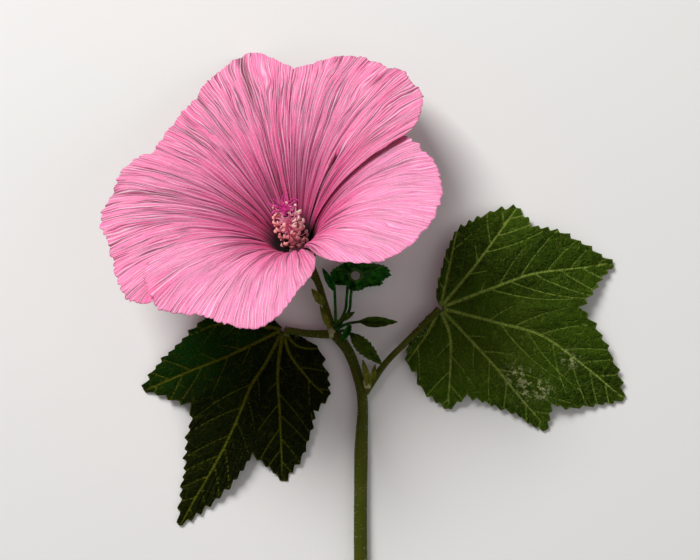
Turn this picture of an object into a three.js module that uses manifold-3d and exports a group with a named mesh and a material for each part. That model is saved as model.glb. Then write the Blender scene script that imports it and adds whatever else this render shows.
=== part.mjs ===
// A cut sprig of mallow lying on its back: one open five-petalled blossom on its stalk, two lobed leaves
// and the young growth at the two stem joints. Millimetres, +Z up from the surface it lies on.
// The blossom is laid out on one funnel: a point of it is named by its turn about the flower's axis, in
// degrees, and its reach, the length of petal below it, in millimetres.
import * as THREE from "three";
import { mergeVertices } from "three/addons/utils/BufferGeometryUtils.js";
import Module from "manifold-3d";

const wasm = await Module();
wasm.setup();

const gap = 0.3; // left between two pieces that touch
const turn = THREE.MathUtils.degToRad;
const blend = THREE.MathUtils.lerp;
const ease = THREE.MathUtils.smoothstep;
const vec = (p) => new THREE.Vector3(...p);

// ---------- driving dimensions ----------

const flower = {
  base: [-14.1, 7.5, 8.8], // where the petals leave the receptacle
  tilt: 38, // of the flower's axis from upright
  heading: 107, // way the axis leans, counter-clockwise from +X
  baseRadius: 3.0, // of the ring of petal claws
  throat: 24, // half-angle of the funnel at its base
  straight: 6, // length of claw before the petal starts to flare
  fullReach: 54, // reach at which a petal has its full flare
  flareSpread: 34, // degrees over which one petal's flare blends into the next
  waveHeight: 0.9, // of the broad waves at the rim
};

const petalSheet = { thickness: 0.45, rows: 11, columns: 14 };
const petalClaw = { halfWidth: 30, from: 2, to: 14 }; // degrees, and the reach over which it widens
const petalLean = { atBase: 0.1, withReach: 0.027 }; // how far a petal's clockwise edge lies over the next
const petals = {
  petal_upper_left: {
    middle: 110, flare: 93,
    rim: [[153, 45], [145, 48.5], [138, 49], [123, 49], [112, 50.5], [101, 55], [87, 60.5], [79, 56.5],
      [71, 51]],
  },
  petal_upper_right: {
    middle: 40, flare: 93,
    rim: [[84, 46], [71, 51], [60, 52.5], [50, 57], [37, 58.8], [23, 57], [12, 53], [5, 47], [3.5, 40]],
  },
  petal_right: {
    middle: -31, flare: 98,
    rim: [[16, 41], [3, 47], [-15, 52], [-30, 53.2], [-45, 52.2], [-58, 49], [-67, 42.5], [-73, 36.5],
      [-77, 30]],
  },
  petal_bottom: {
    middle: -124, flare: 104,
    rim: [[-76, 25], [-81, 34], [-91, 40.5], [-101, 48], [-111, 51], [-133, 50.5], [-143, 54], [-152, 52],
      [-161, 48.5], [-165, 41]],
  },
  petal_left: {
    middle: -183, flare: 97,
    rim: [[-144, 48], [-152, 56], [-164, 57.5], [-176, 55.5], [-188, 56.5], [-200, 54], [-211, 52],
      [-218, 49], [-220, 43]],
  },
};

const sepals = { count: 5, cup: 5, tip: 15, offset: 0.85, spread: 0.07, thickness: 0.45, first: 76 };
const bracts = { count: 3, cup: 3.5, tip: 10, offset: 1.6, spread: 0.13, thickness: 0.45, first: 30 };
const receptacle = { top: -1.15, radius: 4.0, depth: 2.2 };

const stamens = { count: 30, lowest: 5, highest: 15.2, turnEach: 137.5, reach: 3.2, rise: 1.6, anther: 0.66 };
const stigmas = { count: 12, from: 17.8, rise: 3.0, spread: 3.7 };
// Turned about the flower's axis, as [radius, height] points.
const tubeProfile = [
  [2.35, -0.4], [2.3, 0.6], [1.3, 3.2], [1.0, 16.2], [0.7, 16.2], [0.7, 2.4], [2.0, 0.7], [2.0, -0.4],
  [2.35, -0.4],
];
const pistilProfile = [[0, -0.7], [1.5, -0.7], [1.65, 0], [1.4, 0.7], [0.35, 1.2], [0.35, 18.2], [0, 18.2]];

const stemPath = [
  [3.0, -82.1, 1.9], [2.9, -66.2, 1.9], [3.1, -46.9, 1.9], [3.5, -33.6, 1.95],
  [1.8, -25.4, 2.1], [-0.9, -19.0, 2.4], [-4.4, -14.6, 2.8],
];
const stemRadii = [1.85, 1.85, 1.8, 1.9, 1.45, 1.4, 1.6];

const stalkPath = [[-5.4, -12.6, 3.0], [-7.2, -5.5, 3.4], [-9.0, -0.2, 3.9], [-11.6, 4.2, 5.2]];
const stalkRadii = [1.05, 0.95, 0.9, 1.0];

const leafThickness = 0.5;
const leftLeaf = {
  joint: [-18.3, -13.6, 3.4],
  stalk: [[-6.5, -14.9, 2.8], [-11.8, -14.7, 2.7], [-18.0, -13.7, 3.3]],
  stalkRadius: 1.05,
  outline: [
    [1.9, -0.6, 2.6], [6.3, -3.1, 2.4], [9.6, -5.5, 1.6], [10.7, -9.6, 2.2], [12.1, -13.7, 1.5],
    [12.4, -18.4, 1.0], [8.3, -22.3, 2.8], [7.4, -27.9, 2.4], [5.3, -34.2, 1.8], [3.1, -37.4, 1.4],
    [-0.1, -42.0, 0.6], [-3.8, -37.9, 2.2], [-8.5, -33.9, 4.2], [-13.7, -41.3, 3.2], [-18.7, -46.7, 2.2],
    [-24.1, -50.8, 1.2], [-28.9, -54.3, 0.4], [-28.0, -46.9, 0.9], [-26.8, -39.3, 1.4],
    [-26.3, -31.0, 2.0], [-24.9, -24.5, 3.0], [-25.4, -20.2, 4.0], [-28.7, -19.7, 3.0],
    [-32.3, -18.3, 1.8], [-38.7, -16.9, 0.6], [-35.3, -11.0, 1.2], [-30.1, -5.5, 1.8], [-26.1, -1.7, 2.2],
    [-21.6, 2.8, 2.4], [-14.4, 5.5, 2.8], [-7.6, 4.7, 3.4], [-2.0, 1.7, 3.6],
  ],
};
const rightLeaf = {
  joint: [24.7, -7.7, 4.6],
  stalk: [[5.2, -29.2, 2.5], [9.7, -23.0, 2.9], [15.1, -17.4, 3.4], [20.4, -12.1, 4.0], [24.5, -7.9, 4.5]],
  stalkRadius: 0.95,
  outline: [
    [-1.1, 3.0, 4.6], [1.6, 14.1, 4.2], [4.7, 21.1, 3.4], [11.3, 24.9, 2.6], [14.9, 26.5, 2.0],
    [21.4, 27.6, 0.8], [25.1, 22.4, 3.2], [32.9, 20.8, 3.6], [39.2, 17.7, 2.8], [47.9, 12.2, 0.8],
    [44.6, 8.9, 2.6], [41.9, 4.9, 4.2], [38.0, 0.3, 5.4], [42.7, -5.5, 4.4], [46.2, -11.3, 3.2],
    [49.1, -18.1, 1.8], [51.0, -25.1, 0.5], [43.2, -26.4, 1.8], [35.8, -27.3, 3.0], [30.5, -25.9, 4.4],
    [30.2, -28.9, 2.4], [29.7, -33.6, 0.6], [25.7, -31.3, 1.6], [21.1, -28.6, 2.6], [15.3, -26.6, 2.4],
    [7.6, -23.7, 4.0], [2.4, -27.8, 0.8], [-2.0, -24.4, 2.0], [-4.9, -21.7, 2.6], [-6.3, -17.6, 3.0],
    [-9.0, -14.9, 1.2], [-8.6, -10.4, 2.4], [-5.9, -5.4, 3.6], [-2.2, -1.6, 4.0],
  ],
};
const leafTeeth = { pitch: 4.6, depth: 0.9, sharp: 0.72 };
const leastSpokeTurn = turn(0.3);

// Small blades: from their foot to their tip, with the height of their arch and their half-width, and the
// stalk that joins some of them to the stem.
const smallBlades = {
  young_leaf_toothed: {
    from: [0.2, -14.7, 4.6], to: [8.8, -23.2, 4.9], arch: 1.8, halfWidth: 2.7, fold: 35, teeth: 6, foot: 0.5,
    stalk: [[-2.6, -13.9, 4.5], [-1.2, -13.9, 4.6], [0.5, -14.9, 4.7]],
  },
  young_leaf_pointed: {
    from: [2.6, -11.4, 3.8], to: [13.0, -11.5, 3.8], arch: 1.6, halfWidth: 2.3, fold: 48, teeth: 0, foot: 0.6,
    stalk: [[-2.7, -12.9, 3.3], [-0.6, -12.0, 3.4], [3.0, -11.4, 3.9]],
  },
  young_leaf_small: {
    from: [-4.1, -3.0, 6.0], to: [-7.5, 3.2, 6.0], arch: 0.7, halfWidth: 1.2, fold: 30, teeth: 3, foot: 0.4,
    stalk: [[-3.4, -12.4, 4.4], [-4.0, -8.0, 4.8], [-4.2, -2.7, 6.0]],
  },
  young_leaf_folded: {
    from: [0.2, -12.3, 5.4], to: [-2.4, -17.2, 5.2], arch: 0.4, halfWidth: 1.2, fold: 48, teeth: 0, foot: 0.4,
    stalk: [[-2.9, -13.0, 5.2], [-1.4, -12.2, 5.4], [0.1, -12.6, 5.45]],
  },
  young_leaf_slender: {
    from: [-2.6, -10.9, 4.6], to: [1.2, -8.8, 4.6], arch: 1.0, halfWidth: 1.0, fold: 30, teeth: 0, foot: 0.4,
  },
  stipule_fork_long: {
    from: [5.2, -28.8, 4.5], to: [3.5, -21.9, 5.4], arch: 0.7, halfWidth: 1.0, fold: 25, teeth: 0, foot: 0.8,
  },
  stipule_fork_curled: {
    from: [6.2, -27.4, 4.2], to: [6.9, -23.4, 4.0], arch: 0.6, halfWidth: 0.9, fold: 45, teeth: 0, foot: 0.5,
  },
  stipule_joint_lower: {
    from: [-5.8, -12.8, 4.9], to: [-8.2, -7.0, 5.0], arch: 0.5, halfWidth: 0.8, fold: 30, teeth: 0, foot: 0.5,
  },
  stipule_joint_upper: {
    from: [-7.5, -6.4, 5.2], to: [-10.5, -2.4, 5.4], arch: 0.4, halfWidth: 1.2, fold: 20, teeth: 3, foot: 0.4,
  },
};
// The young leaf that is curled round into a ring, from the hole at its middle to its lobed edge, which is
// given as [turn, reach] points.
const curledLeaf = {
  middle: [1.5, 1.2, 3.6], hole: 1.3, cup: 0.9, ruffle: 0.5, thickness: 0.4,
  edge: [[0, 9.9], [14, 9.4], [32, 6.4], [56, 4.6], [79, 4.2], [112, 4.4], [148, 5.4], [172, 7.0], [198, 6.9],
    [225, 4.0], [257, 4.3], [290, 4.4], [317, 4.6], [340, 7.8], [350, 7.9]],
  stalk: [[-3.2, -12.2, 2.4], [-1.4, -8.6, 2.2], [-0.9, -4.6, 2.7], [-0.6, -1.2, 3.5]], stalkRadius: 0.42,
};
const smallStalkRadius = 0.4;
const smallBladeThickness = 0.4;

// ---------- materials ----------

const paint = (color, roughness) =>
  new THREE.MeshStandardMaterial({ color, roughness, metalness: 0, side: THREE.DoubleSide });
const finishes = {
  petal: paint(0xe8709c, 0.75),
  leaf: paint(0x2c4a14, 0.65),
  stem: paint(0x66701a, 0.6),
  youngLeaf: paint(0x2f7a1f, 0.6),
  calyx: paint(0x6f8f3a, 0.65),
  anther: paint(0xf0c9bf, 0.8),
  stigma: paint(0xb52a7c, 0.6),
};

// ---------- solids ----------

// A grid of points, rows by columns, given thickness as one closed sheet.
function sheet(grid, thickness, wraps = false) {
  const rows = grid.length;
  const columns = grid[0].length;
  const column = (j) => (wraps ? (j + columns) % columns : THREE.MathUtils.clamp(j, 0, columns - 1));
  const faces = [[], []];
  grid.forEach((row, i) =>
    row.forEach((point, j) => {
      const along = grid[Math.min(i + 1, rows - 1)][j].clone().sub(grid[Math.max(i - 1, 0)][j]);
      const across = row[column(j + 1)].clone().sub(row[column(j - 1)]);
      const out = across.cross(along).setLength(thickness / 2);
      faces[0].push(point.clone().add(out));
      faces[1].push(point.clone().sub(out));
    }),
  );
  const count = rows * columns;
  const at = (side, i, j) => side * count + i * columns + column(j);
  const index = [];
  const quad = (a, b, c, d) => index.push(a, b, c, a, c, d);
  for (let i = 0; i < rows - 1; i++)
    for (let j = 0; j < (wraps ? columns : columns - 1); j++) {
      quad(at(0, i, j), at(0, i, j + 1), at(0, i + 1, j + 1), at(0, i + 1, j));
      quad(at(1, i, j), at(1, i + 1, j), at(1, i + 1, j + 1), at(1, i, j + 1));
    }
  for (let j = 0; j < (wraps ? columns : columns - 1); j++) {
    quad(at(1, 0, j), at(1, 0, j + 1), at(0, 0, j + 1), at(0, 0, j));
    quad(at(0, rows - 1, j), at(0, rows - 1, j + 1), at(1, rows - 1, j + 1), at(1, rows - 1, j));
  }
  for (let i = 0; i < rows - 1 && !wraps; i++) {
    quad(at(0, i, 0), at(0, i + 1, 0), at(1, i + 1, 0), at(1, i, 0));
    quad(at(1, i, columns - 1), at(1, i + 1, columns - 1), at(0, i + 1, columns - 1), at(0, i, columns - 1));
  }
  const geometry = new THREE.BufferGeometry().setFromPoints(faces.flat());
  geometry.setIndex(index);
  return geometry;
}

// A lathe-turned rod bent along a smooth curve, with its radius given at each of the curve's points.
function rod(points, radii, sides = 10, steps = 4 * (points.length - 1)) {
  const curve = new THREE.CatmullRomCurve3(points.map(vec));
  const radiusAt = (t) => {
    const place = t * (radii.length - 1);
    const i = Math.min(Math.floor(place), radii.length - 2);
    return blend(radii[i], radii[i + 1], ease(place - i, 0, 1));
  };
  const profile = [new THREE.Vector2(0, 0)];
  for (let i = 0; i <= steps; i++) profile.push(new THREE.Vector2(radiusAt(i / steps), i));
  profile.push(new THREE.Vector2(0, steps));
  const geometry = new THREE.LatheGeometry(profile, sides);
  const frames = curve.computeFrenetFrames(steps);
  const position = geometry.getAttribute("position");
  for (let v = 0; v < position.count; v++) {
    const ring = Math.round(position.getY(v));
    const placed = curve
      .getPointAt(ring / steps)
      .addScaledVector(frames.normals[ring], position.getX(v))
      .addScaledVector(frames.binormals[ring], -position.getZ(v));
    position.setXYZ(v, placed.x, placed.y, placed.z);
  }
  return geometry;
}

function toSolid(geometry) {
  const bare = geometry.clone();
  bare.deleteAttribute("normal");
  bare.deleteAttribute("uv");
  const merged = mergeVertices(bare, 1e-4);
  const made = new wasm.Manifold(
    new wasm.Mesh({
      numProp: 3,
      vertProperties: merged.getAttribute("position").array,
      triVerts: new Uint32Array(merged.index.array),
    }),
  );
  if (made.volume() > 0) return made;
  merged.index.array.reverse(); // the sheet or rod faced inwards
  return toSolid(merged);
}

function toGeometry(solid) {
  const mesh = solid.getMesh();
  const geometry = new THREE.BufferGeometry();
  geometry.setAttribute("position", new THREE.BufferAttribute(new Float32Array(mesh.vertProperties), 3));
  geometry.setIndex(new THREE.BufferAttribute(new Uint32Array(mesh.triVerts), 1));
  geometry.computeVertexNormals();
  return geometry;
}

const joined = (geometries) => geometries.map(toSolid).reduce((a, b) => a.add(b));

const sprig = new THREE.Group();
function addPiece(name, solid, finish) {
  const mesh = new THREE.Mesh(toGeometry(solid), finish);
  mesh.name = name;
  sprig.add(mesh);
}

// ---------- the funnel that the blossom is laid out on ----------

const lean = turn(flower.tilt);
const heading = turn(flower.heading);
const axis = new THREE.Vector3(
  Math.sin(lean) * Math.cos(heading), Math.sin(lean) * Math.sin(heading), Math.cos(lean),
);
const sideways = new THREE.Vector3(Math.sin(heading), -Math.cos(heading), 0);
const upwards = new THREE.Vector3().crossVectors(axis, sideways);

const outward = (azimuth) =>
  sideways.clone().multiplyScalar(Math.cos(turn(azimuth))).addScaledVector(upwards, Math.sin(turn(azimuth)));

// A point at a height along the axis and a radius from it.
const aboutAxis = (azimuth, radius, height) =>
  vec(flower.base).addScaledVector(axis, height).addScaledVector(outward(azimuth), radius);

// The flare at the rim, blended between the petals by their distance round the axis.
function flareAt(azimuth) {
  let total = 0;
  let weight = 0;
  for (const { middle, flare } of Object.values(petals)) {
    const away = THREE.MathUtils.euclideanModulo(azimuth - middle + 180, 360) - 180;
    const share = Math.exp(-((away / flower.flareSpread) ** 2));
    total += share * flare;
    weight += share;
  }
  return turn(total / weight);
}

const wave = (azimuth, reach) =>
  flower.waveHeight * (reach / flower.fullReach) ** 2 *
  (Math.sin(turn(7 * azimuth + 40)) + 0.6 * Math.sin(turn(12 * azimuth + 100)));

// A point of the funnel, lifted off it towards the inside.
function onFunnel(azimuth, reach, lift = 0) {
  const start = turn(flower.throat);
  const bend = (flareAt(azimuth) - start) / (flower.fullReach - flower.straight);
  const angle = start + bend * Math.max(reach - flower.straight, 0);
  const straight = Math.min(reach, flower.straight);
  const radius = flower.baseRadius + Math.sin(start) * straight + (Math.cos(start) - Math.cos(angle)) / bend;
  const height = Math.cos(start) * straight + (Math.sin(angle) - Math.sin(start)) / bend;
  const raised = lift + wave(azimuth, reach);
  return aboutAxis(azimuth, radius - Math.cos(angle) * raised, height + Math.sin(angle) * raised);
}

// A smooth line through [azimuth, reach] points, read at a share of its length.
function rimLine(points) {
  const line = new THREE.CatmullRomCurve3(points.map(([azimuth, reach]) => vec([azimuth, reach, 0])));
  return (share) => line.getPointAt(share);
}

// Each petal's clockwise edge lies over its neighbour: the petal is tilted about its own middle line.
function petalSolid({ rim }) {
  const { rows, columns } = petalSheet;
  const line = rimLine(rim);
  const middle = (rim[0][0] + rim.at(-1)[0]) / 2;
  const halfWidth = (rim[0][0] - rim.at(-1)[0]) / 2;
  const grid = [];
  for (let i = 0; i <= rows; i++) {
    const row = [];
    for (let j = 0; j <= columns; j++) {
      const edge = line(j / columns);
      const reach = (edge.y * i) / rows;
      const claw = blend(petalClaw.halfWidth / halfWidth, 1, ease(reach, petalClaw.from, petalClaw.to));
      const across = (middle - edge.x) / halfWidth;
      const lift = across * (petalLean.atBase + petalLean.withReach * reach);
      row.push(onFunnel(middle - across * halfWidth * claw, reach, lift));
    }
    grid.push(row);
  }
  return toSolid(sheet(grid, petalSheet.thickness));
}

for (const [name, petal] of Object.entries(petals)) addPiece(name, petalSolid(petal), finishes.petal);

// ---------- calyx, epicalyx, stamens and pistil ----------

// A cup of pointed lobes joined at their feet, round the outside of the funnel.
function lobedCup({ count, cup, tip, offset, spread, thickness, first }) {
  const rows = 4;
  const columns = 8 * count;
  const grid = [];
  for (let i = 0; i <= rows; i++) {
    const row = [];
    for (let j = 0; j < columns; j++) {
      const azimuth = first + (360 * j) / columns;
      const fromLobe = Math.abs(Math.sin(turn((count * (azimuth - first)) / 2)));
      const reach = (blend(tip, cup, fromLobe ** 0.75) * i) / rows;
      row.push(onFunnel(azimuth, reach, -(offset + spread * reach)));
    }
    grid.push(row);
  }
  return toSolid(sheet(grid, thickness, true));
}
addPiece("calyx", lobedCup(sepals), finishes.calyx);
addPiece("epicalyx", lobedCup(bracts), finishes.calyx);

// A solid of revolution about the flower's axis, from [radius, height] points.
function turnedAboutAxis(profile, sides) {
  const geometry = new THREE.LatheGeometry(profile.map(([r, h]) => new THREE.Vector2(r, h)), sides);
  geometry.applyMatrix4(new THREE.Matrix4().makeBasis(sideways, axis, upwards.clone().negate()));
  geometry.translate(...flower.base);
  return geometry;
}

function staminalColumn() {
  const parts = [turnedAboutAxis(tubeProfile, 12)];
  for (let i = 0; i < stamens.count; i++) {
    const azimuth = i * stamens.turnEach;
    const height = blend(stamens.lowest, stamens.highest, i / (stamens.count - 1));
    const reach = stamens.reach * (0.85 + 0.15 * Math.cos(turn(azimuth * 3)));
    const root = aboutAxis(azimuth, 0.85, height);
    const head = aboutAxis(azimuth + 8, 0.9 + reach, height + stamens.rise);
    const knee = aboutAxis(azimuth + 4, 0.9 + reach * 0.6, height + stamens.rise * 0.35);
    parts.push(rod([root.toArray(), knee.toArray(), head.toArray()], [0.17, 0.15, 0.14], 4, 2));
    const anther = new THREE.IcosahedronGeometry(stamens.anther, 0).scale(1.1, 0.8, 0.8);
    anther.rotateZ(turn(azimuth)).translate(...head.toArray());
    parts.push(anther);
  }
  return joined(parts);
}
addPiece("staminal_column", staminalColumn(), finishes.anther);

function pistil() {
  const parts = [turnedAboutAxis(pistilProfile, 10)];
  for (let i = 0; i < stigmas.count; i++) {
    const azimuth = (360 * i) / stigmas.count;
    const long = i % 2 ? 1 : 0.8;
    const path = [
      aboutAxis(azimuth, 0.1, stigmas.from),
      aboutAxis(azimuth, stigmas.spread * 0.45, stigmas.from + stigmas.rise * 0.75 * long),
      aboutAxis(azimuth, stigmas.spread * long, stigmas.from + stigmas.rise * long),
    ];
    parts.push(rod(path.map((p) => p.toArray()), [0.22, 0.18, 0.12], 4, 4));
  }
  return joined(parts);
}
addPiece("pistil", pistil(), finishes.stigma);

// ---------- stem and flower stalk ----------

addPiece("stem", toSolid(rod(stemPath, stemRadii, 12)), finishes.stem);
const stemWithGap = toSolid(rod(stemPath, stemRadii.map((r) => r + gap), 12));

function flowerStalk() {
  const under = aboutAxis(0, 0, receptacle.top - receptacle.depth);
  const top = aboutAxis(0, 0, receptacle.top);
  const path = [...stalkPath, under.toArray(), top.toArray()];
  return toSolid(rod(path, [...stalkRadii, 1.7, receptacle.radius], 10, 20)).subtract(stemWithGap);
}
addPiece("flower_stalk", flowerStalk(), finishes.stem);

// ---------- leaves ----------

// Adds teeth that point to the tip of the lobe between the outline's own points.
function toothed(outline, { pitch, depth, sharp }) {
  const points = [];
  outline.forEach((point, i) => {
    const here = vec(point);
    points.push(here);
    if (i === outline.length - 1) return;
    const next = vec(outline[i + 1]);
    const side = next.clone().sub(here);
    const teeth = Math.max(1, Math.round(side.length() / pitch));
    const out = new THREE.Vector3(-side.y, side.x, 0).normalize();
    const climbs = next.length() > here.length(); // towards a lobe's tip
    for (let k = 0; k < teeth; k++) {
      const peak = (k + (climbs ? sharp : 1 - sharp)) / teeth;
      points.push(here.clone().addScaledVector(side, peak).addScaledVector(out, depth));
      if (k < teeth - 1) points.push(here.clone().addScaledVector(side, (k + 1) / teeth));
    }
  });
  return keptClockwise(points);
}

// Turns each point about the joint until it lies clockwise of the last, so that no spoke of the blade folds
// back over its neighbour.
function keptClockwise(points) {
  const fullTurn = 2 * Math.PI;
  let last = Math.atan2(points[0].y, points[0].x);
  return points.map((point, i) => {
    const ahead = THREE.MathUtils.euclideanModulo(last - Math.atan2(point.y, point.x) + 1, fullTurn) - 1;
    last -= i ? Math.max(ahead, leastSpokeTurn) : 0;
    const reach = Math.hypot(point.x, point.y);
    return new THREE.Vector3(reach * Math.cos(last), reach * Math.sin(last), point.z);
  });
}

// A blade fanned out from its joint with the stalk to its toothed outline, the stalk, and the swelling
// where the veins meet.
function leaf({ joint, stalk, stalkRadius, outline }) {
  const innerRadius = 0.6 * stalkRadius;
  const rows = [0, 0.3, 0.55, 0.8, 1];
  const edge = toothed(outline, leafTeeth);
  const grid = rows.map((share) =>
    edge.map((point) => {
      const height = blend(joint[2], point.z, share ** 1.4);
      const reach = Math.hypot(point.x, point.y);
      const scale = blend(innerRadius, reach, share) / reach;
      return new THREE.Vector3(joint[0] + scale * point.x, joint[1] + scale * point.y, height);
    }),
  );
  const radii = stalk.map(() => stalkRadius);
  const knuckle = new THREE.IcosahedronGeometry(1.5 * stalkRadius, 1).translate(...joint);
  return joined([sheet(grid, leafThickness), rod(stalk, radii, 8), knuckle]).subtract(stemWithGap);
}
addPiece("left_leaf", leaf(leftLeaf), finishes.leaf);
addPiece("right_leaf", leaf(rightLeaf), finishes.leaf);

// A small blade along an arched middle line, folded up on both sides of it.
function smallBlade({ from, to, arch, halfWidth, fold, teeth, foot, stalk }) {
  const rows = Math.max(6, 2 * teeth);
  const columns = 4;
  const start = vec(from);
  const end = vec(to);
  const ahead = end.clone().sub(start).setZ(0).normalize();
  const across = new THREE.Vector3(-ahead.y, ahead.x, 0);
  const grid = [];
  for (let i = 0; i <= rows; i++) {
    const share = i / rows;
    const middle = start.clone().lerp(end, share);
    middle.z += 4 * arch * share * (1 - share);
    const tooth = teeth && i % 2 ? 0.82 : 1;
    const full = halfWidth * Math.sin(Math.PI * share ** 0.75) ** 0.9;
    const width = Math.max(foot * (1 - share), 0.12, full * tooth);
    const row = [];
    for (let j = 0; j <= columns; j++) {
      const side = (2 * j) / columns - 1;
      const raised = Math.abs(side) * width * Math.sin(turn(fold));
      row.push(middle.clone().addScaledVector(across, side * width * Math.cos(turn(fold)))
        .add(new THREE.Vector3(0, 0, raised)));
    }
    grid.push(row);
  }
  const parts = [sheet(grid, smallBladeThickness)];
  if (stalk) parts.push(rod(stalk, stalk.map(() => smallStalkRadius), 6, 6));
  return joined(parts).subtract(stemWithGap);
}
for (const [name, blade] of Object.entries(smallBlades))
  addPiece(name, smallBlade(blade), finishes.youngLeaf);

// A blade round a hole, from a raised inner rim to a ruffled, lobed edge.
function ringBlade({ middle, hole, cup, ruffle, thickness, edge, stalk, stalkRadius }) {
  const rows = 4;
  const columns = 36;
  const flat = ([angle, reach]) => vec([reach * Math.cos(turn(angle)), reach * Math.sin(turn(angle)), 0]);
  const line = new THREE.CatmullRomCurve3(edge.map(flat), true);
  const grid = [];
  for (let i = 0; i <= rows; i++) {
    const row = [];
    for (let j = 0; j < columns; j++) {
      const rim = line.getPointAt(j / columns);
      const angle = Math.atan2(rim.y, rim.x);
      const share = i / rows;
      const reach = blend(hole, rim.length(), share);
      const height = cup * (1 - share) ** 2 + ruffle * share * Math.sin(7 * angle);
      row.push(new THREE.Vector3(reach * Math.cos(angle), reach * Math.sin(angle), height).add(vec(middle)));
    }
    grid.push(row);
  }
  const stem = rod(stalk, stalk.map(() => stalkRadius), 6, 8);
  return joined([sheet(grid, thickness, true), stem]).subtract(stemWithGap);
}
addPiece("young_leaf_curled", ringBlade(curledLeaf), finishes.youngLeaf);

// ---------- place the sprig on its resting surface ----------

const bounds = new THREE.Box3().setFromObject(sprig, true);
const middle = bounds.getCenter(new THREE.Vector3());
sprig.position.set(-middle.x, -middle.y, -bounds.min.z);

export default sprig;
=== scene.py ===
# A picked sprig of pink mallow lying on its back: one open blossom, two leaves and the young growth.
# Lengths in the dictionaries are millimetres and angles are degrees.
import bpy
import math
import numpy as np
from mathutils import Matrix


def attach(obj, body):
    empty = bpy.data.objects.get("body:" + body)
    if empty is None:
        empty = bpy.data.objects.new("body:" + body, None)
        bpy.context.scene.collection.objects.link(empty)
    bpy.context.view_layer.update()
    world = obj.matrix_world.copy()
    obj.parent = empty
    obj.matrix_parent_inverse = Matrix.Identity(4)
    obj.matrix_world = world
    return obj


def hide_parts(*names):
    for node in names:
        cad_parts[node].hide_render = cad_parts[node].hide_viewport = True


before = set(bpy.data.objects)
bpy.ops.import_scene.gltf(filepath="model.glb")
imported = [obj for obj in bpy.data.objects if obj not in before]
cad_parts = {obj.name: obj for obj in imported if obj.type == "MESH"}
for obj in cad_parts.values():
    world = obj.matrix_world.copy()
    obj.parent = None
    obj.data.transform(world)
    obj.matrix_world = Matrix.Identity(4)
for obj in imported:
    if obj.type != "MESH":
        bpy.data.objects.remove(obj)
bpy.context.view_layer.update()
print("frame loaded")

mm = 0.001
layoutShift = np.array([-5.556, 9.365, 0.001])  # from the zero of the layout below to the frame's origin


def rampUp(low, high, x):
    t = np.clip((x - low) / (high - low), 0, 1)
    return t * t * (3 - 2 * t)


def mix(a, b, t):
    return a + (b - a) * t


def deselectAll():
    bpy.ops.object.select_all(action="DESELECT")


def useModifier(piece, kind, **settings):
    deselectAll()
    piece.select_set(True)
    bpy.context.view_layer.objects.active = piece
    modifier = piece.modifiers.new(kind.title(), kind)
    for name, value in settings.items():
        setattr(modifier, name, value)
    bpy.ops.object.modifier_apply(modifier=modifier.name)


def smoothLine(points, t):
    # a smooth line through the points, read at the shares t of its length
    points = np.asarray(points, float)
    ends = np.vstack([2 * points[0] - points[1], points, 2 * points[-1] - points[-2]])
    fine = []
    for k in range(len(points) - 1):
        p0, p1, p2, p3 = ends[k:k + 4]
        s = np.linspace(0, 1, 24, endpoint=False)[:, None]
        fine.append(0.5 * (2 * p1 + (p2 - p0) * s + (2 * p0 - 5 * p1 + 4 * p2 - p3) * s ** 2
                           + (3 * p1 - p0 - 3 * p2 + p3) * s ** 3))
    fine = np.vstack(fine + [points[-1:]])
    run = np.concatenate([[0], np.cumsum(np.linalg.norm(np.diff(fine, axis=0), axis=1))])
    return np.stack([np.interp(t * run[-1], run, fine[:, k]) for k in range(points.shape[1])], axis=-1)


def ringNoise(azimuth, count, seed, ribs=False):
    # smooth random values round a full turn; as ribs, they swing from side to side
    values = np.random.default_rng(seed).uniform(-1, 1, count)
    if ribs:
        values = (0.45 + 0.55 * np.abs(values)) * np.where(np.arange(count) % 2, 1, -1)
    place = (np.asarray(azimuth) % 360) / 360 * count
    low = np.floor(place).astype(int)
    part = place - low
    part = part * part * (3 - 2 * part)
    return values[low % count] * (1 - part) + values[(low + 1) % count] * part


def toFrame(points):
    return (points + layoutShift) * mm


def sheetPiece(name, columns, rows, place, thickness=0, closed=False):
    # A grid whose points are moved to place(u, v), which gives millimetres, a pattern map and attributes
    deselectAll()
    bpy.ops.mesh.primitive_grid_add(x_subdivisions=columns, y_subdivisions=rows, size=1)
    piece = bpy.context.active_object
    piece.name = name
    mesh = piece.data
    mesh.name = name
    flat = np.empty(3 * len(mesh.vertices))
    mesh.vertices.foreach_get("co", flat)
    u, v = flat.reshape(-1, 3)[:, 0] + 0.5, flat.reshape(-1, 3)[:, 1] + 0.5
    points, patternMap, attributes = place(u, v)
    mesh.vertices.foreach_set("co", toFrame(points).ravel())
    corners = np.empty(len(mesh.loops), int)
    mesh.loops.foreach_get("vertex_index", corners)
    mesh.uv_layers[0].name = "pattern"
    mesh.uv_layers["pattern"].data.foreach_set("uv", patternMap[corners].ravel())
    for key, values in attributes.items():
        layer = mesh.attributes.new(key, "FLOAT", "POINT")
        layer.data.foreach_set("value", np.asarray(values, float))
    mesh.update()
    if closed:
        mergeAndFaceOut(piece)
    if thickness:
        useModifier(piece, "SOLIDIFY", thickness=thickness * mm, offset=0.0, use_even_offset=False)
    mesh.shade_smooth()
    return piece


def mergeAndFaceOut(piece):
    deselectAll()
    piece.select_set(True)
    bpy.context.view_layer.objects.active = piece
    bpy.ops.object.mode_set(mode="EDIT")
    bpy.ops.mesh.select_all(action="SELECT")
    bpy.ops.mesh.remove_doubles(threshold=1e-6)
    bpy.ops.mesh.normals_make_consistent(inside=False)
    bpy.ops.object.mode_set(mode="OBJECT")


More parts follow.
